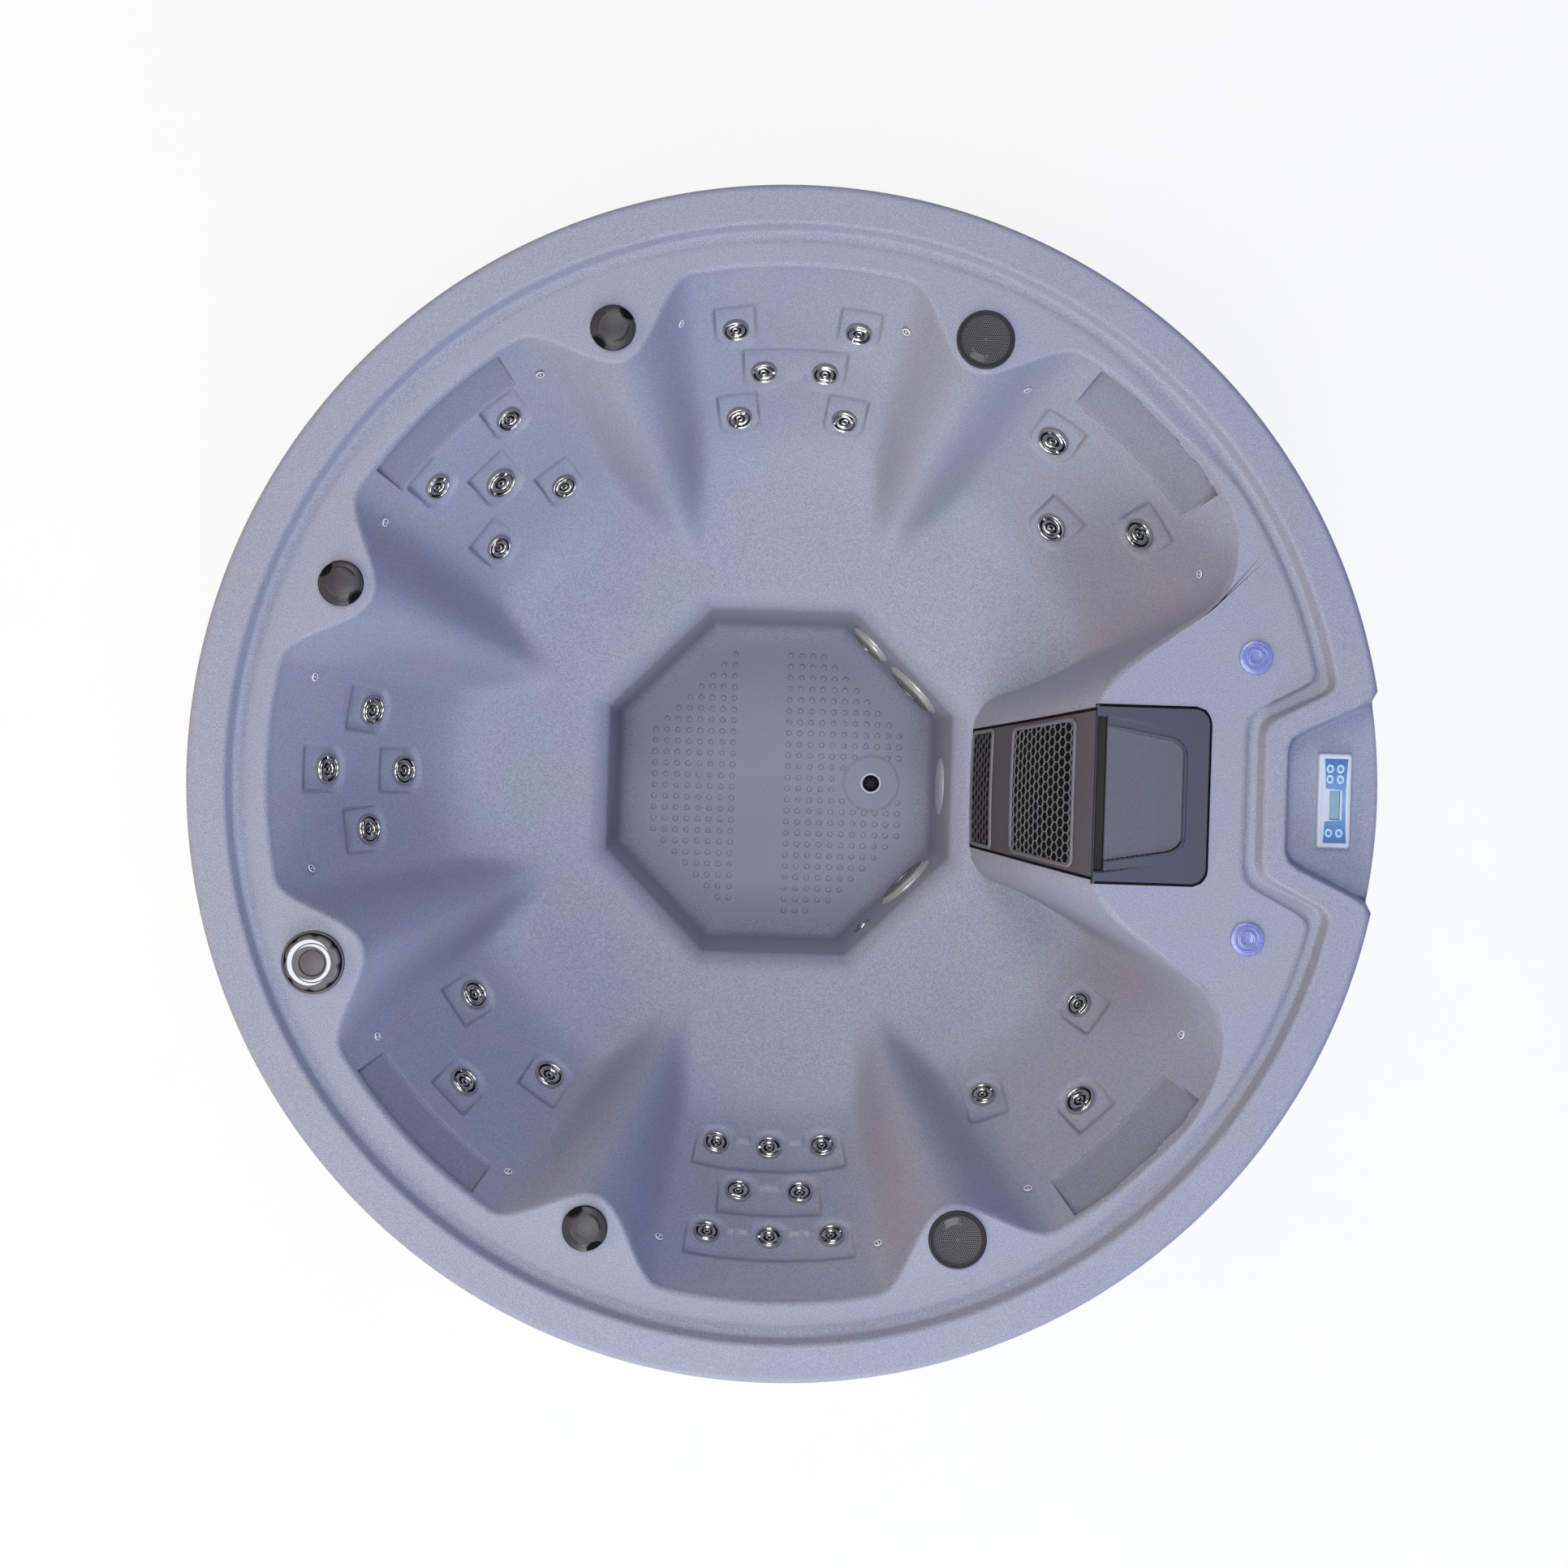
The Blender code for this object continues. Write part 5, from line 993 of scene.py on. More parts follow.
class HOTTUB_OT_filter(bpy.types.Operator):
    """Build the filter lid, the curved fascia and its honeycomb grilles"""
    bl_idname = "hottub.filter"
    bl_label = "Filter"

    STATIONS = 400
    # Each grille: start and end as shares of the fascia, side margin, corner radius, finish of its walls
    WINDOWS = ((0.10, 0.545, 0.0125, 0.012, "grille"), (0.755, 0.985, 0.0075, 0.009, "fascia"))
    FRAME_SECTION = ((-0.5, 0.0), (-0.42, 0.6), (-0.15, 1.0), (0.15, 1.0), (0.42, 0.6), (0.5, 0.0))
    FRAME_HEIGHT = 0.0035
    FIELD_LIFT = 0.0005
    WALL_LIFT = 0.0006
    EDGE = 0.004
    SLOT_END = 0.020
    SLOT_HALF = 0.131
    SLOT_DEPTH = 0.0140
    DISH_START = 0.0185
    DISH_END = 0.150
    DISH_CORNER = 0.026
    DISH_FRONT_HALF = 0.113
    DISH_BACK_HALF = 0.0925
    LEDGE_DEPTH = 0.0030

    def execute(self, context):
        self.f = context.scene.tub_filter
        shape = shell_shape()
        self.top = shape.deck_z + self.f.proud
        self.low = shape.seat_z
        self.reached = self.stations()
        self.make_fascia()
        for number, window in enumerate(self.WINDOWS):
            self.make_window(number, *window)
        self.make_lid()
        # The housing's inside in painted shade, so that the gaps round the lid and fascia read dark
        paint_node("filter_housing", "hollow")
        paint_node("filter_cartridge", "pleats")
        return {"FINISHED"}

    def place(self, across, share, lift):
        """Point of the fascia: across it in metres, share of the way down, lifted off its face."""
        f = self.f
        plan, depth = nose_curve(share)
        x = lerp(f.front + f.run, f.front, plan) + 0.003 * share * (across / 0.12) ** 2
        z = lerp(self.top, self.low, depth)
        slope = [bend + (1.0 - 2.0 * bend) * share for bend in NOSE_BEND]
        along = Vector((-slope[0] * f.run, 0.0, slope[1] * (self.low - self.top))).normalized()
        return Vector((x, across, z)) + Vector((along.z, 0.0, -along.x)) * lift

    def stations(self):
        """Length along the fascia's curve at even shares, to place even rows on it."""
        reached = [0.0]
        before = self.place(0.0, 0.0, 0.0)
        for index in range(1, self.STATIONS + 1):
            point = self.place(0.0, index / self.STATIONS, 0.0)
            reached.append(reached[-1] + (point - before).length)
            before = point
        return reached

    def share_at(self, distance):
        distance = min(max(distance, 0.0), self.reached[-1])
        index = max(bisect_left(self.reached, distance), 1)
        before, after = self.reached[index - 1:index + 1]
        return (index - 1 + (distance - before) / (after - before)) / self.STATIONS

    def half_width(self, share):
        return lerp(0.5 * self.f.top_width, 0.5 * self.f.foot_width, nose_curve(share)[0]) - self.f.gap

    def make_fascia(self):
        """The dark skin with a row at each end of the grilles, and a lip turned down at its edge, the edge in
        painted shade for the gap beside it.
        """
        total = self.reached[-1]
        ends = [share * total for window in self.WINDOWS for share in window[:2]]
        even = [total * i / 40.0 for i in range(41)]
        shares = [self.share_at(distance) for distance in sorted({*ends, *even})]
        rows = len(shares) - 1
        bm = bmesh.new()

        def skin(u, v):
            share = shares[round(v * rows)]
            half = self.half_width(share)
            return self.place(lerp(-half, half, u), share, -0.0001)

        # The outermost columns take painted shade, for the gap along the fascia's sides
        grid_surface(bm, 60, rows, skin, lambda u, v: 0 if 0.018 < u < 0.982 else 1)
        sides = [edge for edge in bm.edges if edge.is_boundary]
        for item in bmesh.ops.extrude_edge_only(bm, edges=sides)["geom"]:
            if isinstance(item, bmesh.types.BMVert):
                item.co += Vector((0.003, 0.0, -0.004))
        finish_piece(bm, "filter_front_skin", ("fascia", "hollow"), "tub", ["filter_fascia"])

    def make_window(self, number, start_share, end_share, margin, corner, finish):
        """A field in painted shade for the hollow behind the grille, honeycomb walls and a rounded frame,
        bent onto the fascia.
        """
        f = self.f
        start = start_share * self.reached[-1]
        end = end_share * self.reached[-1]

        def half_at(distance):
            return self.half_width(self.share_at(distance)) - margin

        def bent(across, distance, lift):
            return self.place(across, self.share_at(distance), lift)

        def flat(u, v):
            distance = lerp(start, end, v)
            return bent(lerp(-half_at(distance), half_at(distance), u), distance, self.FIELD_LIFT)

        # The field under the honeycomb is painted shade for the hollow behind it
        field = bmesh.new()
        grid_surface(field, 20, 20, flat)
        finish_piece(field, f"grille_field_{number}", ("hollow",), outward=False)

        walls = self.honeycomb(start, end)
        inset = 0.5 * f.frame_width
        cuts = [(0.0, start + inset, 0.0, -1.0), (0.0, end - inset, 0.0, 1.0)]
        for side in (-1.0, 1.0):
            low = Vector((side * (half_at(start) - inset), start))
            along = (Vector((side * (half_at(end) - inset), end)) - low).normalized()
            cuts.append((low.x, low.y, side * along.y, -side * along.x))
        for x, y, across, down in cuts:
            bmesh.ops.bisect_plane(walls, geom=walls.verts[:] + walls.edges[:] + walls.faces[:],
                                   plane_co=(x, y, 0.0), plane_no=(across, down, 0.0), clear_outer=True,
                                   dist=0.00001)
        bmesh.ops.solidify(walls, geom=walls.faces[:], thickness=f.cell_depth)
        low_z = min(vertex.co.z for vertex in walls.verts)
        for vertex in walls.verts:
            vertex.co = bent(vertex.co.x, vertex.co.y, self.WALL_LIFT + (vertex.co.z - low_z) * 0.55)
        finish_piece(walls, f"grille_honeycomb_{number}", (finish,))

        outline = []
        for x, y, turns in quarter_turns(5):
            outline += [(x, y, math.cos(turn), math.sin(turn)) for turn in turns]
            straight = [step / 12.0 for step in range(1, 12)]
            outline += [(lerp(x, -y, share), lerp(y, x, share), *outline[-1][2:]) for share in straight]

        def around(u, v):
            x, y, out_x, out_y = outline[round(u * len(outline)) % len(outline)]
            out, high = self.FRAME_SECTION[round(v * (len(self.FRAME_SECTION) - 1))]
            distance = 0.5 * (start + end) + y * (0.5 * (end - start) - corner)
            half = half_at(min(max(distance, start), end)) - corner
            reach = corner + out * f.frame_width
            return bent(x * half + out_x * reach, distance + out_y * reach,
                        self.WALL_LIFT + high * self.FRAME_HEIGHT)

        ring = bmesh.new()
        grid_surface(ring, len(outline), len(self.FRAME_SECTION) - 1, around)
        finish_piece(ring, f"grille_frame_{number}", ("trim",), smooth_angle=50.0)

    def honeycomb(self, start, end):
        """Flat hexagonal walls over a grille and a little past it."""
        pitch = self.f.cell_pitch
        row_pitch = pitch * math.sqrt(0.75)
        radius = pitch / math.sqrt(3.0)
        count = int(0.17 / pitch)
        walls = bmesh.new()
        for row in range(math.ceil((end - start) / row_pitch) + 1):
            for index in range(-count, count + 1):
                ring = bmesh.ops.create_circle(walls, cap_ends=True, segments=6, radius=radius)["verts"]
                face = ring[0].link_faces[0]
                bmesh.ops.inset_individual(walls, faces=[face], thickness=0.5 * self.f.cell_wall,
                                           use_even_offset=True)
                bmesh.ops.delete(walls, geom=[face], context="FACES_ONLY")
                around = {v for vertex in ring for e in vertex.link_edges for v in e.verts}
                bmesh.ops.translate(walls, verts=list(around),
                                    vec=((0.5 * (row % 2) + index) * pitch, start + row * row_pitch, 0.0))
        bmesh.ops.remove_doubles(walls, verts=walls.verts[:], dist=0.0001)
        return walls

    def make_lid(self):
        """Lid as a height field in its outline: a rounded edge, a deep finger slot and a shallow dish."""
        f = self.f
        front = f.front + f.run + 2.0 * f.gap
        back = f.front + f.run + f.lid_length - f.gap
        side = 0.5 * f.lid_width - f.gap
        corner = f.lid_corner - f.gap

        def inset_from(x, y):
            """Distance inside the lid's outline."""
            dx = back - x
            dy = side - abs(y)
            if dx < corner and dy < corner:
                return corner - math.hypot(corner - dx, corner - dy)
            return min(dx, dy, x - front)

        def inside_dish(ahead, y):
            """Distance inside the dish, which narrows towards the back."""
            if ahead < self.DISH_START:
                return -1.0
            dx = self.DISH_END - ahead
            narrowed = clamp((ahead - self.SLOT_END) / 0.115)
            dy = lerp(self.DISH_FRONT_HALF, self.DISH_BACK_HALF, narrowed) - abs(y)
            if dx < self.DISH_CORNER and dy < self.DISH_CORNER:
                return self.DISH_CORNER - math.hypot(self.DISH_CORNER - dx, self.DISH_CORNER - dy)
            return min(dx, dy)

        def height(x, y):
            ahead = x - front
            behind = clamp((ahead - self.SLOT_END) / 0.085)
            near_edge = self.EDGE - min(max(inset_from(x, y), 0.0), self.EDGE)
            z = math.sqrt(max(self.EDGE ** 2 - near_edge ** 2, 0.0)) - self.EDGE
            dish_in = inside_dish(ahead, y)
            dish = smooth(dish_in / 0.0024) * lerp(0.0070, 0.0046, behind)
            ledge = 0.0
            if ahead > self.DISH_START:
                ledge = smooth((lerp(self.SLOT_HALF, 0.118, behind) - abs(y)) / 0.002)
                ledge *= self.LEDGE_DEPTH * (1.0 - behind)
            bead = 0.0014 * math.exp(-((dish_in + 0.0022) / 0.0016) ** 2)
            z += bead - max(dish, ledge)
            slot = smooth(min((ahead - 0.0025) / 0.002, (self.SLOT_END - ahead) / 0.0014,
                              (self.SLOT_HALF - abs(y)) / 0.003))
            dot = smooth(1.0 - (math.hypot(ahead - 0.098, y + 0.006) - 0.0025) / 0.0015)
            return lerp(z, -self.SLOT_DEPTH, slot) + 0.0004 * dot

        def place(u, v):
            x = lerp(front, back, u)
            y = lerp(-side, side, v)
            off = Vector((x - back + corner, abs(y) - side + corner))
            if min(off) > 0.0 and off.length > corner:
                off = off.normalized() * corner
                x = back - corner + off.x
                y = math.copysign(side - corner + off.y, y)
            return Vector((x, y, self.top + height(x, y)))

        bm = bmesh.new()
        grid_surface(bm, 150, 210, place)
        bmesh.ops.remove_doubles(bm, verts=bm.verts[:], dist=0.00005)
        bm.normal_update()
        for face in bm.faces:
            middle = face.calc_center_median()
            depth = self.top - middle.z
            in_dish = middle.x > front + self.SLOT_END
            # The rounded edge takes painted shade for the gap round the lid and its turned-down edge
            if inset_from(middle.x, middle.y) < 0.0042 and middle.x > front + 0.005:
                face.material_index = 1
            # The slot's deep floor and the dish's walls facing +Y take the slot finish: painted shade
            elif depth > 0.0085 or (face.normal.z < 0.72 and face.normal.y > 0.3 and in_dish):
                face.material_index = 3
            elif depth > 0.0038 and in_dish:
                face.material_index = 2
        rim = [edge for edge in bm.edges if edge.is_boundary]
        lowered = bmesh.ops.extrude_edge_only(bm, edges=rim)["geom"]
        verts = {item for item in lowered if isinstance(item, bmesh.types.BMVert)}
        for vertex in verts:
            vertex.co.z = self.top - f.lid_thickness
        loop = [item for item in lowered
                if isinstance(item, bmesh.types.BMEdge) and verts.issuperset(item.verts)]
        bmesh.ops.edgeloop_fill(bm, edges=loop)
        finish_piece(bm, "filter_lid_cover", ("moulding", "hollow", "dish", "slot"), "filter_lid_body",
                     ["filter_lid"], 32.0)


class HOTTUB_OT_knobs(bpy.types.Operator):
    """Build the air knobs, the diverter handle, the speakers, the blue caps and the light rings"""
    bl_idname = "hottub.knobs"
    bl_label = "Deck fittings"

    KNOB_TURNS = {"air_knob_left": -88.0, "air_knob_front": 74.0}
    KNOB_ROWS = [0.06 * row for row in range(10)] + [0.58 + 0.04 * row for row in range(9)]
    KNOB_ROWS += [0.93, 0.96, 0.985, 1.0]
    KNOB_ARCS = (158.0, -38.0)
    KNOB_BITES = (47.0, -133.0)
    DIVERTER_PROFILE = ((0.0, 0.90), (0.36, 0.90), (0.39, 0.86), (0.41, 0.86), (0.43, 0.93), (0.50, 0.95),
                        (0.60, 0.96), (0.70, 0.965), (0.78, 0.96), (0.84, 0.94), (0.88, 0.80), (0.895, 0.62),
                        (0.90, 0.42), (0.93, 0.34), (0.97, 0.32), (1.0, 0.22), (1.0, 0.015))
    # Each pale arc: nearest share of the radius, middle and half spread in degrees, width as a share
    DIVERTER_ARCS = ((0.635, 171.0, 134.0, 0.150), (0.595, 3.5, 139.0, -0.120))
    CAP_PROFILE = ((0.0, 0.52), (0.30, 0.52), (0.345, 0.55), (0.36, 0.95), (0.42, 1.0), (0.47, 0.95),
                   (0.485, 0.55), (0.60, 0.50), (0.64, 0.52), (0.66, 0.80), (0.70, 0.84), (0.74, 0.80),
                   (0.76, 0.66), (0.90, 0.62), (0.97, 0.50), (1.0, 0.25), (1.0, 0.05))
    # Rows that take the darker blue: the steep walls of the rings, painted shade
    CAP_LINES = (0, 0, 1, 0, 0, 1, 0, 0, 1, 0, 0, 1, 0, 0, 0, 0)
    SPEAKER_PROFILE = ((0.0, 0.58), (0.80, 0.58), (0.815, 0.60), (0.825, 0.86), (0.845, 0.90), (0.86, 0.86),
                       (0.875, 0.60), (0.90, 0.62), (0.93, 0.95), (0.96, 0.95), (0.985, 0.80), (1.0, 0.5),
                       (1.0, 0.06))
    LIGHT_PROFILE = ((0.0, 1.3), (1.6, 1.2), (2.4, 0.9), (2.6, 0.3), (4.9, 0.3), (5.0, 1.6), (5.9, 2.1),
                     (6.9, 1.6), (7.6, 0.1))

    def execute(self, context):
        makers = {"air_knob": self.air_knob, "diverter": self.diverter, "valve_cap": self.cap}
        for prefix, make in makers.items():
            for body, node, matrix in joint_frames(prefix):
                make(body, node, matrix)
        for node in ("speaker_left", "speaker_right"):
            self.speaker(node)
        self.light_rings()
        return {"FINISHED"}

    def air_knob(self, body, node, matrix):
        """A dome with two bites out of its edge, two raised arcs and fine rings in the middle."""
        radius = 0.038
        high = 0.0158
        rows = len(self.KNOB_ROWS) + 1
        bites = [polar(1.10 * radius, math.radians(turn)) for turn in self.KNOB_BITES]
        matrix = matrix @ Matrix.Rotation(math.radians(self.KNOB_TURNS.get(node, 0.0)), 4, "Z")

        def height(spot):
            share = spot.length / radius
            z = high * (0.34 + 0.66 * math.sqrt(max(1.0 - (share / 1.04) ** 2, 0.0)))
            turn = math.degrees(math.atan2(spot.y, spot.x))
            for middle in self.KNOB_ARCS:
                off = abs((turn - middle + 180.0) % 360.0 - 180.0)
                z += 0.0016 * math.exp(-((share - 0.66) / 0.035) ** 2) * smooth((48.0 - off) / 16.0)
            if share < 0.45:
                z += 0.00016 * math.sin(share * 70.0)
            for bite in bites:
                z = lerp(z, min(z, 0.20 * high), smooth((0.45 - (spot - bite).length / radius) / 0.035))
            return z

        def spot_at(row, u):
            return polar(self.KNOB_ROWS[min(row, rows - 2)] * radius, FULL_TURN * u)

        def place(u, v):
            row = round(v * rows)
            spot = spot_at(row, u % 1.0)
            z = height(spot)
            if row == rows - 1:
                z = 0.25 * high
            elif row == rows:
                z = SEAT_GAP
            return matrix @ raised(spot, z)

        def band(u, v):
            """Painted shade below the bites and down the side."""
            row = int(v * rows)
            bitten = any((spot_at(row, u) - bite).length < 0.41 * radius for bite in bites)
            return 1 if bitten or row > rows - 4 else 0

        bm = bmesh.new()
        grid_surface(bm, 96, rows, place, band)
        finish_piece(bm, node + "_cover", ("knob", "hollow"), body, [node], 38.0)

    def diverter(self, body, node, matrix):
        """A handle with eight scallops round its top and two pale arcs."""
        radius = 0.053
        high = 0.0198
        rows = len(self.DIVERTER_PROFILE) - 1

        def place(u, v):
            turn = FULL_TURN * (u % 1.0)
            share, z = self.DIVERTER_PROFILE[round(v * rows)]
            if 0.8 < share < 0.91:
                share -= 0.060 * (0.5 + 0.5 * math.cos(8.0 * turn + 0.6)) ** 4
            return matrix @ raised(polar(share * radius, turn), z * high)

        bm = bmesh.new()
        # The groove, the steep drop below the scallops and the side are in painted shade
        grid_surface(bm, 128, rows, place, lambda u, v: 1 if int(v * rows) in (2, 11, 12, 15) else 0)
        for near, middle, spread, width in self.DIVERTER_ARCS:
            def arc(u, v, near=near, middle=middle, spread=spread, width=width):
                off = 2.0 * u - 1.0
                share = near + v * width * (1.0 - off ** 2)
                spot = polar(radius * share, math.radians(middle + spread * off))
                return matrix @ raised(spot, high * 0.985 - 0.0008 * (v - 0.5) ** 2)

            grid_surface(bm, 60, 4, arc, lambda u, v: 2)
        finish_piece(bm, node + "_cover", ("handle", "hollow", "mark"), body, [node], 38.0)

    def cap(self, body, node, matrix):
        radius = 0.029
        high = 0.0069
        bm = bmesh.new()
        # The steep walls of the rings take the darker blue: painted shade
        lathe(bm, self.CAP_PROFILE, 48, matrix, radius, high, self.CAP_LINES)
        for vertex in bmesh.ops.create_cube(bm, size=1.0)["verts"]:
            vertex.co = matrix @ Vector((vertex.co.x * 0.05 * radius, vertex.co.y * 0.72 * radius,
                                         high * (0.75 + 0.4 * vertex.co.z)))
        finish_piece(bm, node + "_cover", ("cap", "cap_line"), body, [node])

    def speaker(self, node):
        """A turned bezel, a disc with rings of holes and a plain plate at the disc's edge."""
        low, top, middle, half = box_parts(node)
        radius = half.x
        high = top.z - low.z + SEAT_GAP
        disc_z = 0.60 * high
        matrix = Matrix.Translation((middle.x, middle.y, low.z - SEAT_GAP))
        bm = bmesh.new()
        lathe(bm, self.SPEAKER_PROFILE, 64, matrix, radius, high, (2,) + (0,) * 11)
        plate_turn = math.radians(-112.0 if middle.y > 0.0 else 108.0)
        for ring in (0.075 + 0.068 * row for row in range(11)):
            count = max(int(FULL_TURN * ring / 0.072), 6)
            for index in range(count):
                turn = FULL_TURN * index / count
                off = (turn - plate_turn + math.pi) % FULL_TURN - math.pi
                if ring < 0.50 or abs(off) * ring > 0.30:
                    hole = Matrix.Translation(raised(polar(ring * radius, turn), disc_z))
                    # Each hole is a flat disc of painted shade
                    punch(bm, matrix @ hole, 0.0250 * radius, 8)
        turned = matrix @ Matrix.Rotation(plate_turn, 4, "Z")

        def plate(u, v):
            off = 2.0 * v - 1.0
            far = math.sqrt(0.80 ** 2 - (0.30 * off) ** 2)
            lift = 0.22 * smooth(12.0 * min(u, 1.0 - u, 0.5 - abs(v - 0.5)))
            return turned @ Vector((lerp(0.52, far, u) * radius, lerp(0.22, 0.31, u) * off * radius,
                                    disc_z + high * lift))

        grid_surface(bm, 14, 14, plate, lambda u, v: 3)
        finish_piece(bm, node + "_cover", ("speaker", "hollow", "mesh", "handle"), "tub", [node],
                     38.0, outward=False)

    def light_rings(self):
        tree = surface_tree(shell_shape())
        bm = bmesh.new()
        for degrees, radius in LIGHT_PLACES:
            spot, normal = drop_on(tree, radius, math.radians(degrees))
            matrix = frame_matrix(spot, normal if normal.z > 0.0 else -normal)
            lathe(bm, self.LIGHT_PROFILE, 20, matrix, bands=(0, 0, 1, 1, 0, 0, 0, 0))
        finish_piece(bm, "light_rings", ("mark", "speaker"))


class HOTTUB_OT_footwell(bpy.types.Operator):
    """Build the footwell's grip dots, drain, light, suction covers and return fitting"""
    bl_idname = "hottub.footwell"
    bl_label = "Footwell"

    # Profiles as shares of the radius and, but for the suction covers, millimetres of height
    DOT_PROFILE = ((0.0, 2.5), (0.55, 2.3), (0.80, 1.7), (0.94, 0.8), (1.0, 0.0))
    DRAIN_PROFILE = ((0.0, 1.6), (0.74, 1.6), (0.76, 3.6), (0.80, 4.4), (0.88, 4.6), (0.96, 3.6), (1.0, 1.8),
                     (1.0, 0.1))
    LENS_RIM = ((0.66, 5.0), (0.70, 4.4), (0.74, 5.6), (0.80, 6.0), (0.84, 5.2), (0.88, 4.0), (0.97, 3.6),
                (1.0, 2.4), (1.0, 0.3))
    COVER_PROFILE = ((0.0, 1.0), (0.20, 1.0), (0.24, 0.96), (0.50, 0.92), (0.70, 0.80), (0.84, 0.62),
                     (0.88, 0.54), (0.90, 0.40), (0.97, 0.34), (1.0, 0.26), (1.0, 0.02))
    COVER_BOSS = ((0.0, 1.16), (0.07, 1.12), (0.10, 0.98))
    # Profiles in millimetres both ways
    SURROUND_PROFILE = ((50.0, 0.1), (50.8, 1.2), (52.2, 1.8), (53.8, 1.2), (54.6, 0.1))
    RETURN_PROFILE = ((0.0, 2.0), (3.5, 2.0), (4.0, 6.0), (7.0, 7.5), (9.0, 5.5), (9.5, 2.5), (13.0, 2.5),
                      (13.5, 5.0), (16.0, 4.4), (17.5, 2.4), (17.5, 0.3))

    def execute(self, context):
        self.shape = shell_shape()
        self.dots()
        self.drain()
        self.light()
        for node in ("suction_left_large", "suction_left_small", "suction_right_large"):
            self.suction(node)
        self.return_fitting()
        return {"FINISHED"}

    def wall_frame(self, degrees, spot):
        """Frame on the footwell wall that lies in a direction, at the height and side of a spot."""
        s = self.shape.s
        outward = raised(polar(1.0, math.radians(degrees)), 0.0)
        side = Vector((-outward.y, outward.x, 0.0))
        slope = s.footwell_taper / (s.footwell_depth - s.footwell_edge - s.footwell_fillet)
        reach = self.shape.apothem - slope * (self.shape.seat_z - spot.z - s.footwell_edge)
        origin = reach * outward + side * spot.dot(side) + Vector((0.0, 0.0, spot.z))
        return frame_matrix(origin, Vector((0.0, 0.0, slope)) - outward)

    def dots(self):
        """Two fields of grip dots, with bare floor between them and round the drain."""
        bm = bmesh.new()
        pitch = 0.0213
        low_z = self.shape.floor_z + 0.0001
        for column in range(-12, 13):
            x = column * pitch + 0.002
            for row in range(-13, 14):
                y = (row + 0.5) * pitch - 0.004
                outside = (math.hypot(x, y) > 0.262 or abs(x) + abs(y) > 0.345 or abs(x) > 0.247
                           or abs(y) > 0.252)
                round_drain = math.hypot(x - 0.184, y) < 0.058 or (x > 0.13 and abs(y) < 0.03)
                if not (outside or round_drain or -0.065 < x < 0.018):
                    lathe(bm, self.DOT_PROFILE, 10, Matrix.Translation((x, y, low_z)), 0.0058)
        finish_piece(bm, "floor_grip_dots", ("shell",), smooth_angle=80.0)

    def drain(self):
        """A ring with a well in painted shade, an eight-pointed star in it and a low bead of floor round it.
        """
        _, _, middle, half = box_parts("drain")
        centre = raised(middle, self.shape.floor_z)
        bm = bmesh.new()
        lathe(bm, self.DRAIN_PROFILE, 40, Matrix.Translation(centre), half.x, bands=(1, 1, 0, 0, 0, 0, 0))
        star = [polar(half.x * (0.70 if index % 2 else 0.24), math.pi * index / 8.0) for index in range(16)]

        def insert(u, v):
            return centre + raised(star[round(u * 16) % 16] * v, lerp(0.0036, 0.0020, v))

        grid_surface(bm, 16, 3, insert, lambda u, v: 2)
        finish_piece(bm, "drain_cover", ("panel", "hollow", "speaker"), "tub", ["drain"])
        surround = bmesh.new()
        lathe(surround, self.SURROUND_PROFILE, 56, Matrix.Translation(centre))
        finish_piece(surround, "drain_surround", ("shell",), smooth_angle=60.0)

    def light(self):
        """A ribbed lens in a stepped rim."""
        matrix = self.wall_frame(0.0, box_middle("footwell_light"))
        ribs = [(0.05 * index, 7.4 - 0.08 * index + (0.35 if index % 2 else -0.35)) for index in range(1, 13)]
        bm = bmesh.new()
        lathe(bm, ((0.0, 7.6), *ribs, *self.LENS_RIM), 56, matrix, 0.0535)
        finish_piece(bm, "footwell_lens", ("lens",), "tub", ["footwell_light"], 30.0)

    def suction(self, node):
        """A domed cover with rings of holes and a boss in the middle."""
        matrix = self.wall_frame(45.0 if "left" in node else -45.0, box_middle(node))
        radius = 0.0425 if "small" in node else 0.059
        high = 0.0155
        bm = bmesh.new()
        lathe(bm, self.COVER_PROFILE, 56, matrix, radius, high)
        for row in range(7):
            ring = 0.30 + 0.082 * row
            count = int(FULL_TURN * ring / 0.085)
            z = 1.01 - 0.10 * ring - 0.924 * max(ring - 0.45, 0.0) ** 1.6
            for index in range(count):
                spot = polar(ring * radius, FULL_TURN * (index + (0.5 if row > 2 else 0.0)) / count)
                tilt = Matrix.Rotation(0.35 * ring, 4, Vector((-spot.y, spot.x, 0.0)))
                placed = matrix @ Matrix.Translation(raised(spot, z * high + 0.0006)) @ tilt
                # Each hole is a flat disc of painted shade
                punch(bm, placed, 0.032 * radius, 6)
        lathe(bm, self.COVER_BOSS, 16, matrix, radius, high)
        finish_piece(bm, node + "_cover", ("brushed", "hollow"), "tub", [node], 38.0, outward=False)

    def return_fitting(self):
        side = raised(polar(1.0, math.radians(45.0)), 0.0)
        spot = side * -0.069 + Vector((0.0, 0.0, box_middle("suction_right_large").z))
        bm = bmesh.new()
        # The nozzle's hole and the groove round it are in painted shade
        lathe(bm, self.RETURN_PROFILE, 32, self.wall_frame(-45.0, spot), bands=(1, 1, 0, 0, 0, 1, 0, 0, 0, 0))
        finish_piece(bm, "return_fitting", ("steel", "hollow"), smooth_angle=45.0)


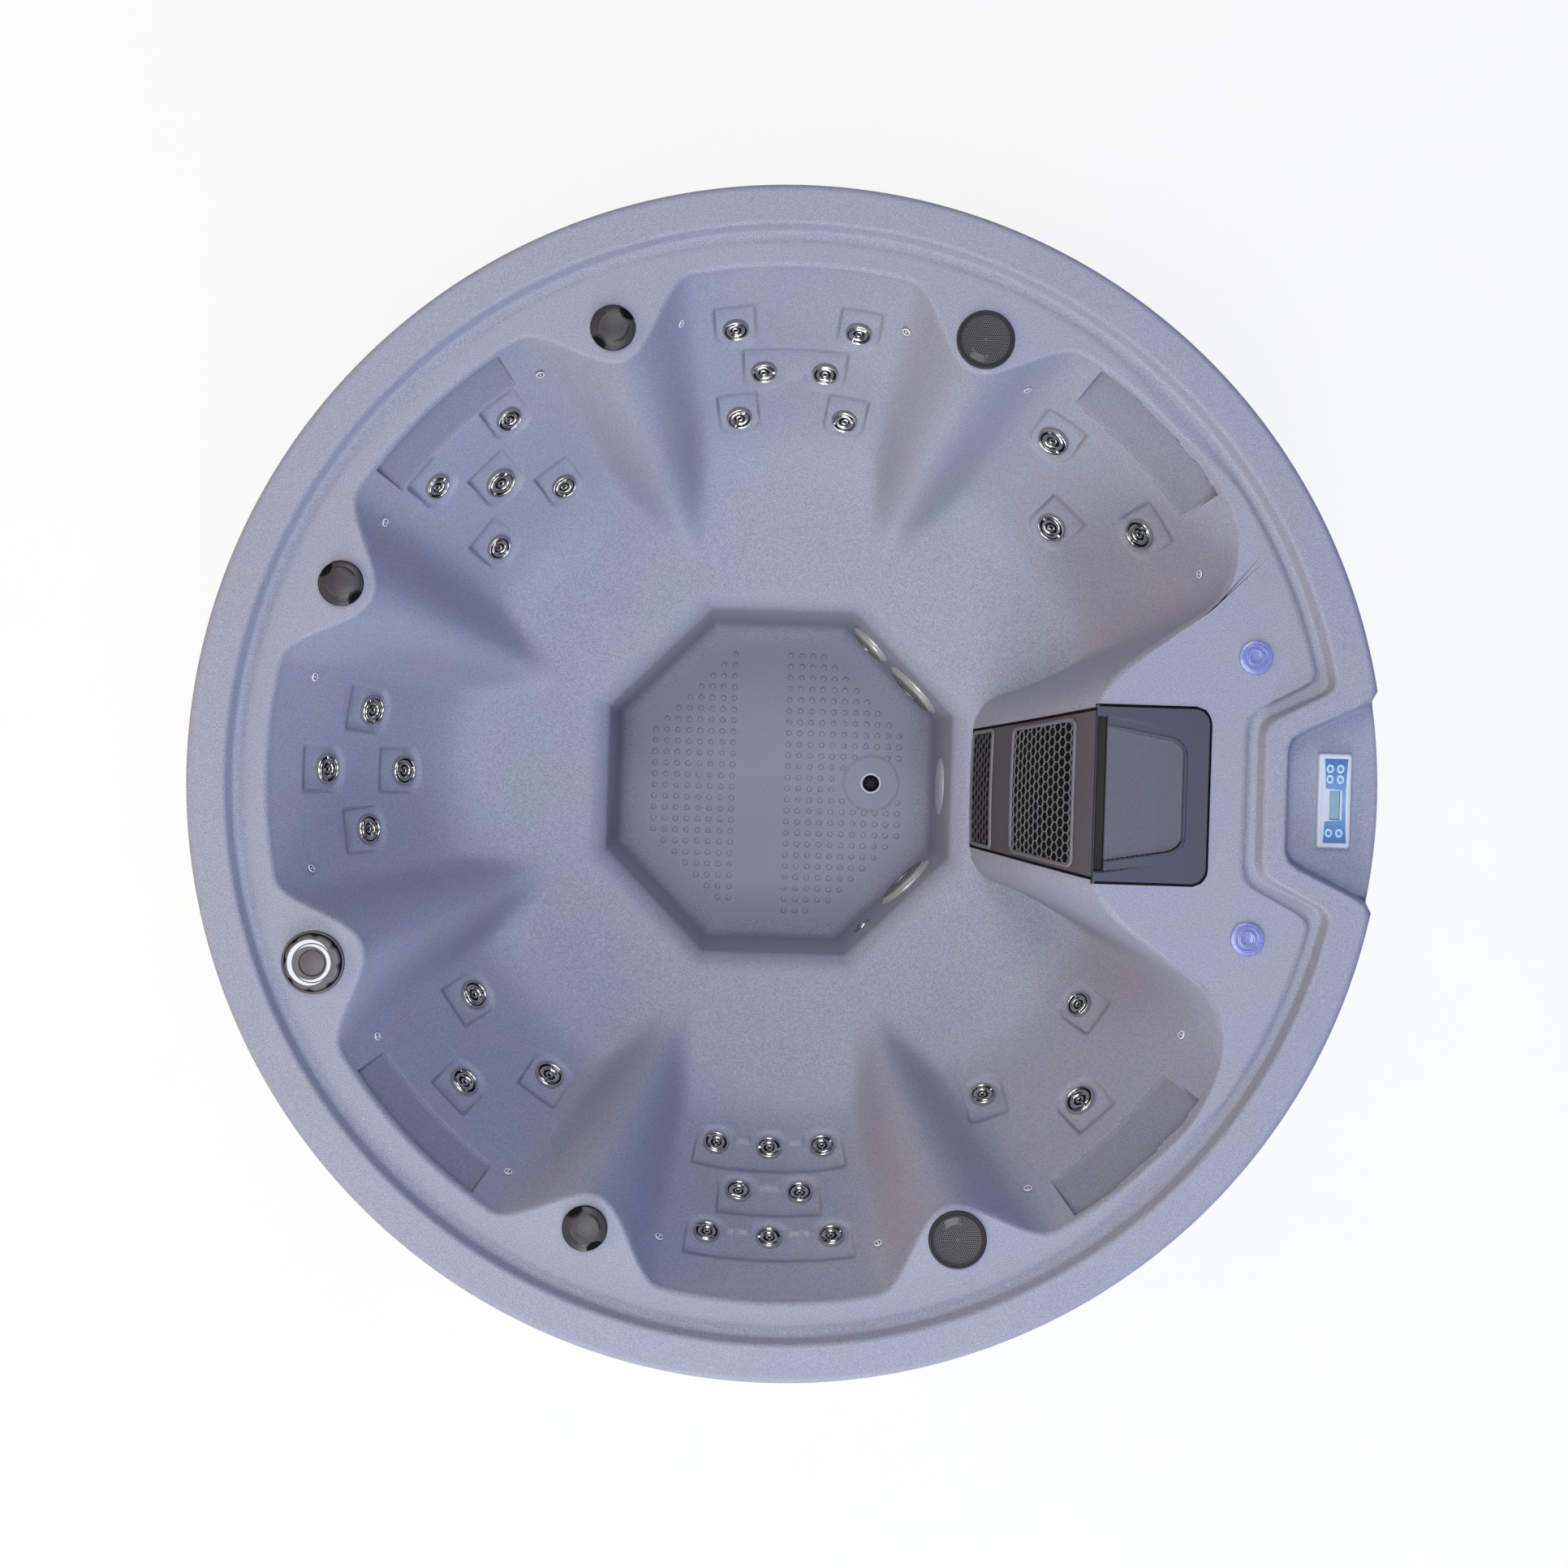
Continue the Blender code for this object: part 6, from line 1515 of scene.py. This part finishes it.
class HOTTUB_OT_panel(bpy.types.Operator):
    """Build the control panel's frame, blue field, display and keys"""
    bl_idname = "hottub.panel"
    bl_label = "Control panel"

    DISPLAY_X = (-0.0085, 0.0088)
    DISPLAY_Y = (-0.0330, 0.0190)
    KEY_PROFILE = ((0.0, 0.80), (0.42, 0.80), (0.50, 0.86), (0.62, 0.86), (0.70, 1.0), (0.86, 1.0),
                   (0.96, 0.88), (1.0, 0.6), (1.0, 0.0))

    def execute(self, context):
        low, high, middle, half = box_parts("control_panel")
        self.surround(low, high, middle, half)
        self.flat_parts(high, middle, half)
        for body, node, _ in joint_frames("panel_key"):
            self.key(body, node)
        return {"FINISHED"}

    def surround(self, low, high, middle, half):
        """The pale frame, rounded over at its edge and a little lower inside."""
        corner = 0.005
        steps = ((0.0, low.z - high.z), (0.0, -0.0040), (0.0012, -0.0012), (0.0032, -0.0001),
                 (0.0058, -0.0001), (0.0064, -0.0010))
        loops = [[Vector((middle.x + x * (half.x - inset - corner) + corner * math.cos(turn),
                          middle.y + y * (half.y - inset - corner) + corner * math.sin(turn), high.z + z))
                  for x, y, turns in quarter_turns(6) for turn in turns] for inset, z in steps]
        count = len(loops[0])
        bm = bmesh.new()
        grid_surface(bm, count, len(loops) - 1,
                     lambda u, v: loops[round(v * (len(loops) - 1))][round(u * count) % count])
        weld(bm)
        inner_z = loops[-1][0].z
        inner = [edge for edge in bm.edges if edge.is_boundary
                 and all(abs(vertex.co.z - inner_z) < 0.00001 for vertex in edge.verts)]
        bmesh.ops.edgeloop_fill(bm, edges=inner)
        finish_piece(bm, "panel_surround", ("panel",), "tub", ["control_panel"])

    def flat_parts(self, high, middle, half):
        """Thin faces on the frame: the blue field, the display's glass and the shade on two sides of it."""
        bm = bmesh.new()
        end = half.y - 0.0085
        start_y, end_y = self.DISPLAY_Y
        glass_y = (0.94 * start_y, 0.94 * end_y)
        glass_end = self.DISPLAY_X[1]

        def on_panel(x, y, drop):
            return Vector((middle.x + x, middle.y + y, high.z - drop))

        def field(u, v):
            """Two blocks joined by a band along their outer side, all waisted."""
            y = lerp(-end, end, v)
            waist = 0.0028 * (1.0 - (y / end) ** 2)
            beside = smooth((y - start_y + 0.002) / 0.003) * smooth((end_y + 0.002 - y) / 0.003)
            left = lerp(0.0105 + waist - half.x, 0.0125, beside)
            return on_panel(lerp(left, half.x - 0.0070 - waist, u), y, 0.0007)

        def patch(span_x, span_y, drop, columns, rows, material):
            grid_surface(bm, columns, rows, lambda u, v: on_panel(lerp(*span_x, u), lerp(*span_y, v), drop),
                         lambda u, v: material)

        grid_surface(bm, 6, 90, field, lambda u, v: 0)
        patch(self.DISPLAY_X, (glass_y[0] - 0.0004, glass_y[1] - 0.0004), 0.0006, 2, 4, 1)
        patch(self.DISPLAY_X, (glass_y[0] - 0.0004, glass_y[0] + 0.0009), 0.0005, 1, 1, 2)
        patch((glass_end - 0.0009, glass_end), glass_y, 0.0005, 1, 1, 2)
        finish_piece(bm, "panel_face", ("overlay", "display", "hollow"), outward=False)

    def key(self, body, node):
        low, high, middle, half = box_parts(node)
        rows = len(self.KEY_PROFILE) - 1

        def place(u, v):
            share, z = self.KEY_PROFILE[round(v * rows)]
            spot = polar(share, FULL_TURN * (u % 1.0))
            return Vector((middle.x + half.x * spot.x, middle.y + half.y * spot.y, lerp(low.z, high.z, z)))

        bm = bmesh.new()
        grid_surface(bm, 32, rows, place, lambda u, v: 1 if v < 0.24 else 0)
        finish_piece(bm, node + "_cap", ("key", "overlay"), body, [node])


class HOTTUB_OT_cabinet(bpy.types.Operator):
    """Finish the skirt, the access panel and the equipment behind it"""
    bl_idname = "hottub.cabinet"
    bl_label = "Cabinet"

    def execute(self, context):
        paint_node("cabinet", "cabinet")
        paint_node("access_panel", "cabinet")
        paint_node("equipment_pack", "pump")
        return {"FINISHED"}


class HOTTUB_OT_stage(bpy.types.Operator):
    """Set up the floor, the lamps and the camera"""
    bl_idname = "hottub.stage"
    bl_label = "Stage"

    # Each lamp: name, azimuth and elevation in degrees, power, colour
    LAMPS = (("top_lamp", -90.0, 78.0, 142.0, (0.90, 0.96, 1.0)),
             ("window_low", -90.0, 20.0, 160.0, (0.90, 0.97, 1.0)),
             ("window_high", -90.0, 38.0, 75.0, (0.82, 0.92, 1.0)),
             ("far_lamp", 90.0, 58.0, 108.0, (0.92, 0.98, 1.0)),
             ("warm_lamp", 180.0, 26.0, 142.0, (1.0, 0.74, 0.42)),
             ("cool_lamp", 0.0, 22.0, 42.0, (0.08, 0.22, 1.0)))
    LAMP_AIM_Z = 0.8
    LAMP_DISTANCE = 5.5
    LAMP_SIZE = 2.6
    SENSOR = 36.0
    # The photograph's middle lies this share of its width beside the lens's axis
    PICTURE_SHIFT = 2.0 / 1932.0

    def execute(self, context):
        g = context.scene.tub_stage
        scene = context.scene
        scene.view_settings.view_transform = "Standard"
        bm = bmesh.new()
        bmesh.ops.create_grid(bm, x_segments=24, y_segments=24, size=9.0)
        mesh = bpy.data.meshes.new("studio_floor")
        bm.to_mesh(mesh)
        bm.free()
        floor = bpy.data.objects.new("studio_floor", mesh)
        scene.collection.objects.link(floor)
        mesh.materials.append(self.floor_paint(g))
        floor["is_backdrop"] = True
        self.world(scene, g)
        for name, azimuth, elevation, power, tint in self.LAMPS:
            self.lamp(scene, name, math.radians(azimuth), math.radians(elevation), g.power * power, tint)
        self.camera(scene, g)
        return {"FINISHED"}

    def floor_paint(self, g):
        """Pale floor that shows the shadow, lifted for the camera so that it reads as white."""
        material = grained("studio_floor_paint", g.floor, 0.8, 30.0, 0.01, 0.02)
        nodes = material.node_tree.nodes
        links = material.node_tree.links
        white = add_node(nodes, "Emission")
        path = add_node(nodes, "LightPath")
        share = add_node(nodes, "Math")
        share.operation = "MULTIPLY"
        share.inputs[1].default_value = g.floor_lift
        mix = add_node(nodes, "MixShader")
        links.new(path.outputs["Is Camera Ray"], share.inputs[0])
        links.new(share.outputs[0], mix.inputs["Fac"])
        links.new(nodes["Principled BSDF"].outputs["BSDF"], mix.inputs[1])
        links.new(white.outputs["Emission"], mix.inputs[2])
        links.new(mix.outputs["Shader"], nodes["Material Output"].inputs["Surface"])
        return material

    def lamp(self, scene, name, azimuth, elevation, power, tint):
        """Soft square lamp, turned to the tub. The deeply coloured one stays out of reflections."""
        light = bpy.data.lights.new(name, "AREA")
        light.energy = power
        light.size = self.LAMP_SIZE
        light.color = tint
        lamp = bpy.data.objects.new(name, light)
        scene.collection.objects.link(lamp)
        away = raised(polar(math.cos(elevation), azimuth), math.sin(elevation))
        lamp.location = Vector((0.0, 0.0, self.LAMP_AIM_Z)) + self.LAMP_DISTANCE * away
        lamp.rotation_euler = away.to_track_quat("Z", "Y").to_euler()
        lamp.visible_glossy = min(tint) > 0.5

    def world(self, scene, g):
        """White to the camera, a dome that brightens upwards to reflections, a weak even blue to the rest."""
        world = bpy.data.worlds.new("studio_world")
        scene.world = world
        world.use_nodes = True
        nodes = world.node_tree.nodes
        links = world.node_tree.links
        even = nodes["Background"]
        even.inputs["Color"].default_value = (0.10, 0.20, 1.0, 1.0)
        even.inputs["Strength"].default_value = g.world
        dome = add_node(nodes, "Background")
        seen = add_node(nodes, "Background", Color=(1.0, 1.0, 1.0, 1.0))
        coordinates = add_node(nodes, "TexCoord")
        height = add_node(nodes, "SeparateXYZ")
        ramp = add_ramp(nodes, (0.02, 0.02, 0.025), (0.55, 0.55, 0.58), 0.55, 1.0)
        links.new(coordinates.outputs["Generated"], height.inputs["Vector"])
        links.new(height.outputs["Z"], ramp.inputs["Fac"])
        links.new(ramp.outputs["Color"], dome.inputs["Color"])
        path = add_node(nodes, "LightPath")
        glossy = add_node(nodes, "MixShader")
        camera = add_node(nodes, "MixShader")
        links.new(path.outputs["Is Glossy Ray"], glossy.inputs["Fac"])
        links.new(even.outputs["Background"], glossy.inputs[1])
        links.new(dome.outputs["Background"], glossy.inputs[2])
        links.new(path.outputs["Is Camera Ray"], camera.inputs["Fac"])
        links.new(glossy.outputs["Shader"], camera.inputs[1])
        links.new(seen.outputs["Background"], camera.inputs[2])
        links.new(camera.outputs["Shader"], nodes["World Output"].inputs["Surface"])

    def camera(self, scene, g):
        """Straight down from the photograph's height, shifted so that the tub stands where it does there."""
        data = bpy.data.cameras.new("photo_camera")
        data.lens = g.focal
        data.sensor_width = self.SENSOR
        data.clip_end = 60.0
        camera = bpy.data.objects.new("photo_camera", data)
        scene.collection.objects.link(camera)
        camera.location = (g.camera_x, g.camera_y, shell_shape().rim_z + g.camera_height)
        camera.rotation_euler = (0.0, 0.0, g.camera_turn)
        to_middle = Matrix.Rotation(-g.camera_turn, 2) @ Vector((-g.camera_x, -g.camera_y))
        scale = g.focal / self.SENSOR / g.camera_height
        data.shift_x = to_middle.x * scale - self.PICTURE_SHIFT
        data.shift_y = to_middle.y * scale
        scene.camera = camera


class HOTTUB_PT_panel(bpy.types.Panel):
    """Buttons and settings in the sidebar"""
    bl_idname = "HOTTUB_PT_panel"
    bl_label = "Hot Tub"
    bl_space_type = "VIEW_3D"
    bl_region_type = "UI"
    bl_category = "Hot Tub"

    def draw(self, context):
        layout = self.layout
        for operator in OPERATORS:
            layout.operator(operator.bl_idname)
        for name in ("tub_shell", "tub_filter", "tub_finish", "tub_stage"):
            settings = getattr(context.scene, name)
            box = layout.box()
            for prop in settings.bl_rna.properties:
                if prop.identifier not in ("rna_type", "name"):
                    box.prop(settings, prop.identifier)


OPERATORS = (HOTTUB_OT_shell, HOTTUB_OT_jets, HOTTUB_OT_filter, HOTTUB_OT_knobs, HOTTUB_OT_footwell,
             HOTTUB_OT_panel, HOTTUB_OT_cabinet, HOTTUB_OT_stage)
SETTINGS = {"tub_shell": TubShellSettings, "tub_filter": TubFilterSettings, "tub_finish": TubFinishSettings,
            "tub_stage": TubStageSettings}


def register():
    for name, group in SETTINGS.items():
        bpy.utils.register_class(group)
        setattr(bpy.types.Scene, name, PointerProperty(type=group))
    for operator in OPERATORS:
        bpy.utils.register_class(operator)
    bpy.utils.register_class(HOTTUB_PT_panel)


def unregister():
    bpy.utils.unregister_class(HOTTUB_PT_panel)
    for operator in reversed(OPERATORS):
        bpy.utils.unregister_class(operator)
    for name, group in SETTINGS.items():
        delattr(bpy.types.Scene, name)
        bpy.utils.unregister_class(group)


def corners(bounds):
    return [[float(value) for value in corner] for corner in bounds]


def main():
    sizes = {"cad": corners(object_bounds())}
    register()
    make_finishes()
    bpy.ops.hottub.shell()
    bpy.ops.hottub.jets()
    bpy.ops.hottub.filter()
    bpy.ops.hottub.knobs()
    bpy.ops.hottub.footwell()
    bpy.ops.hottub.panel()
    bpy.ops.hottub.cabinet()
    bpy.ops.hottub.stage()
    sizes["visual"] = corners(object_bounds())


if __name__ == "__main__":
    main()
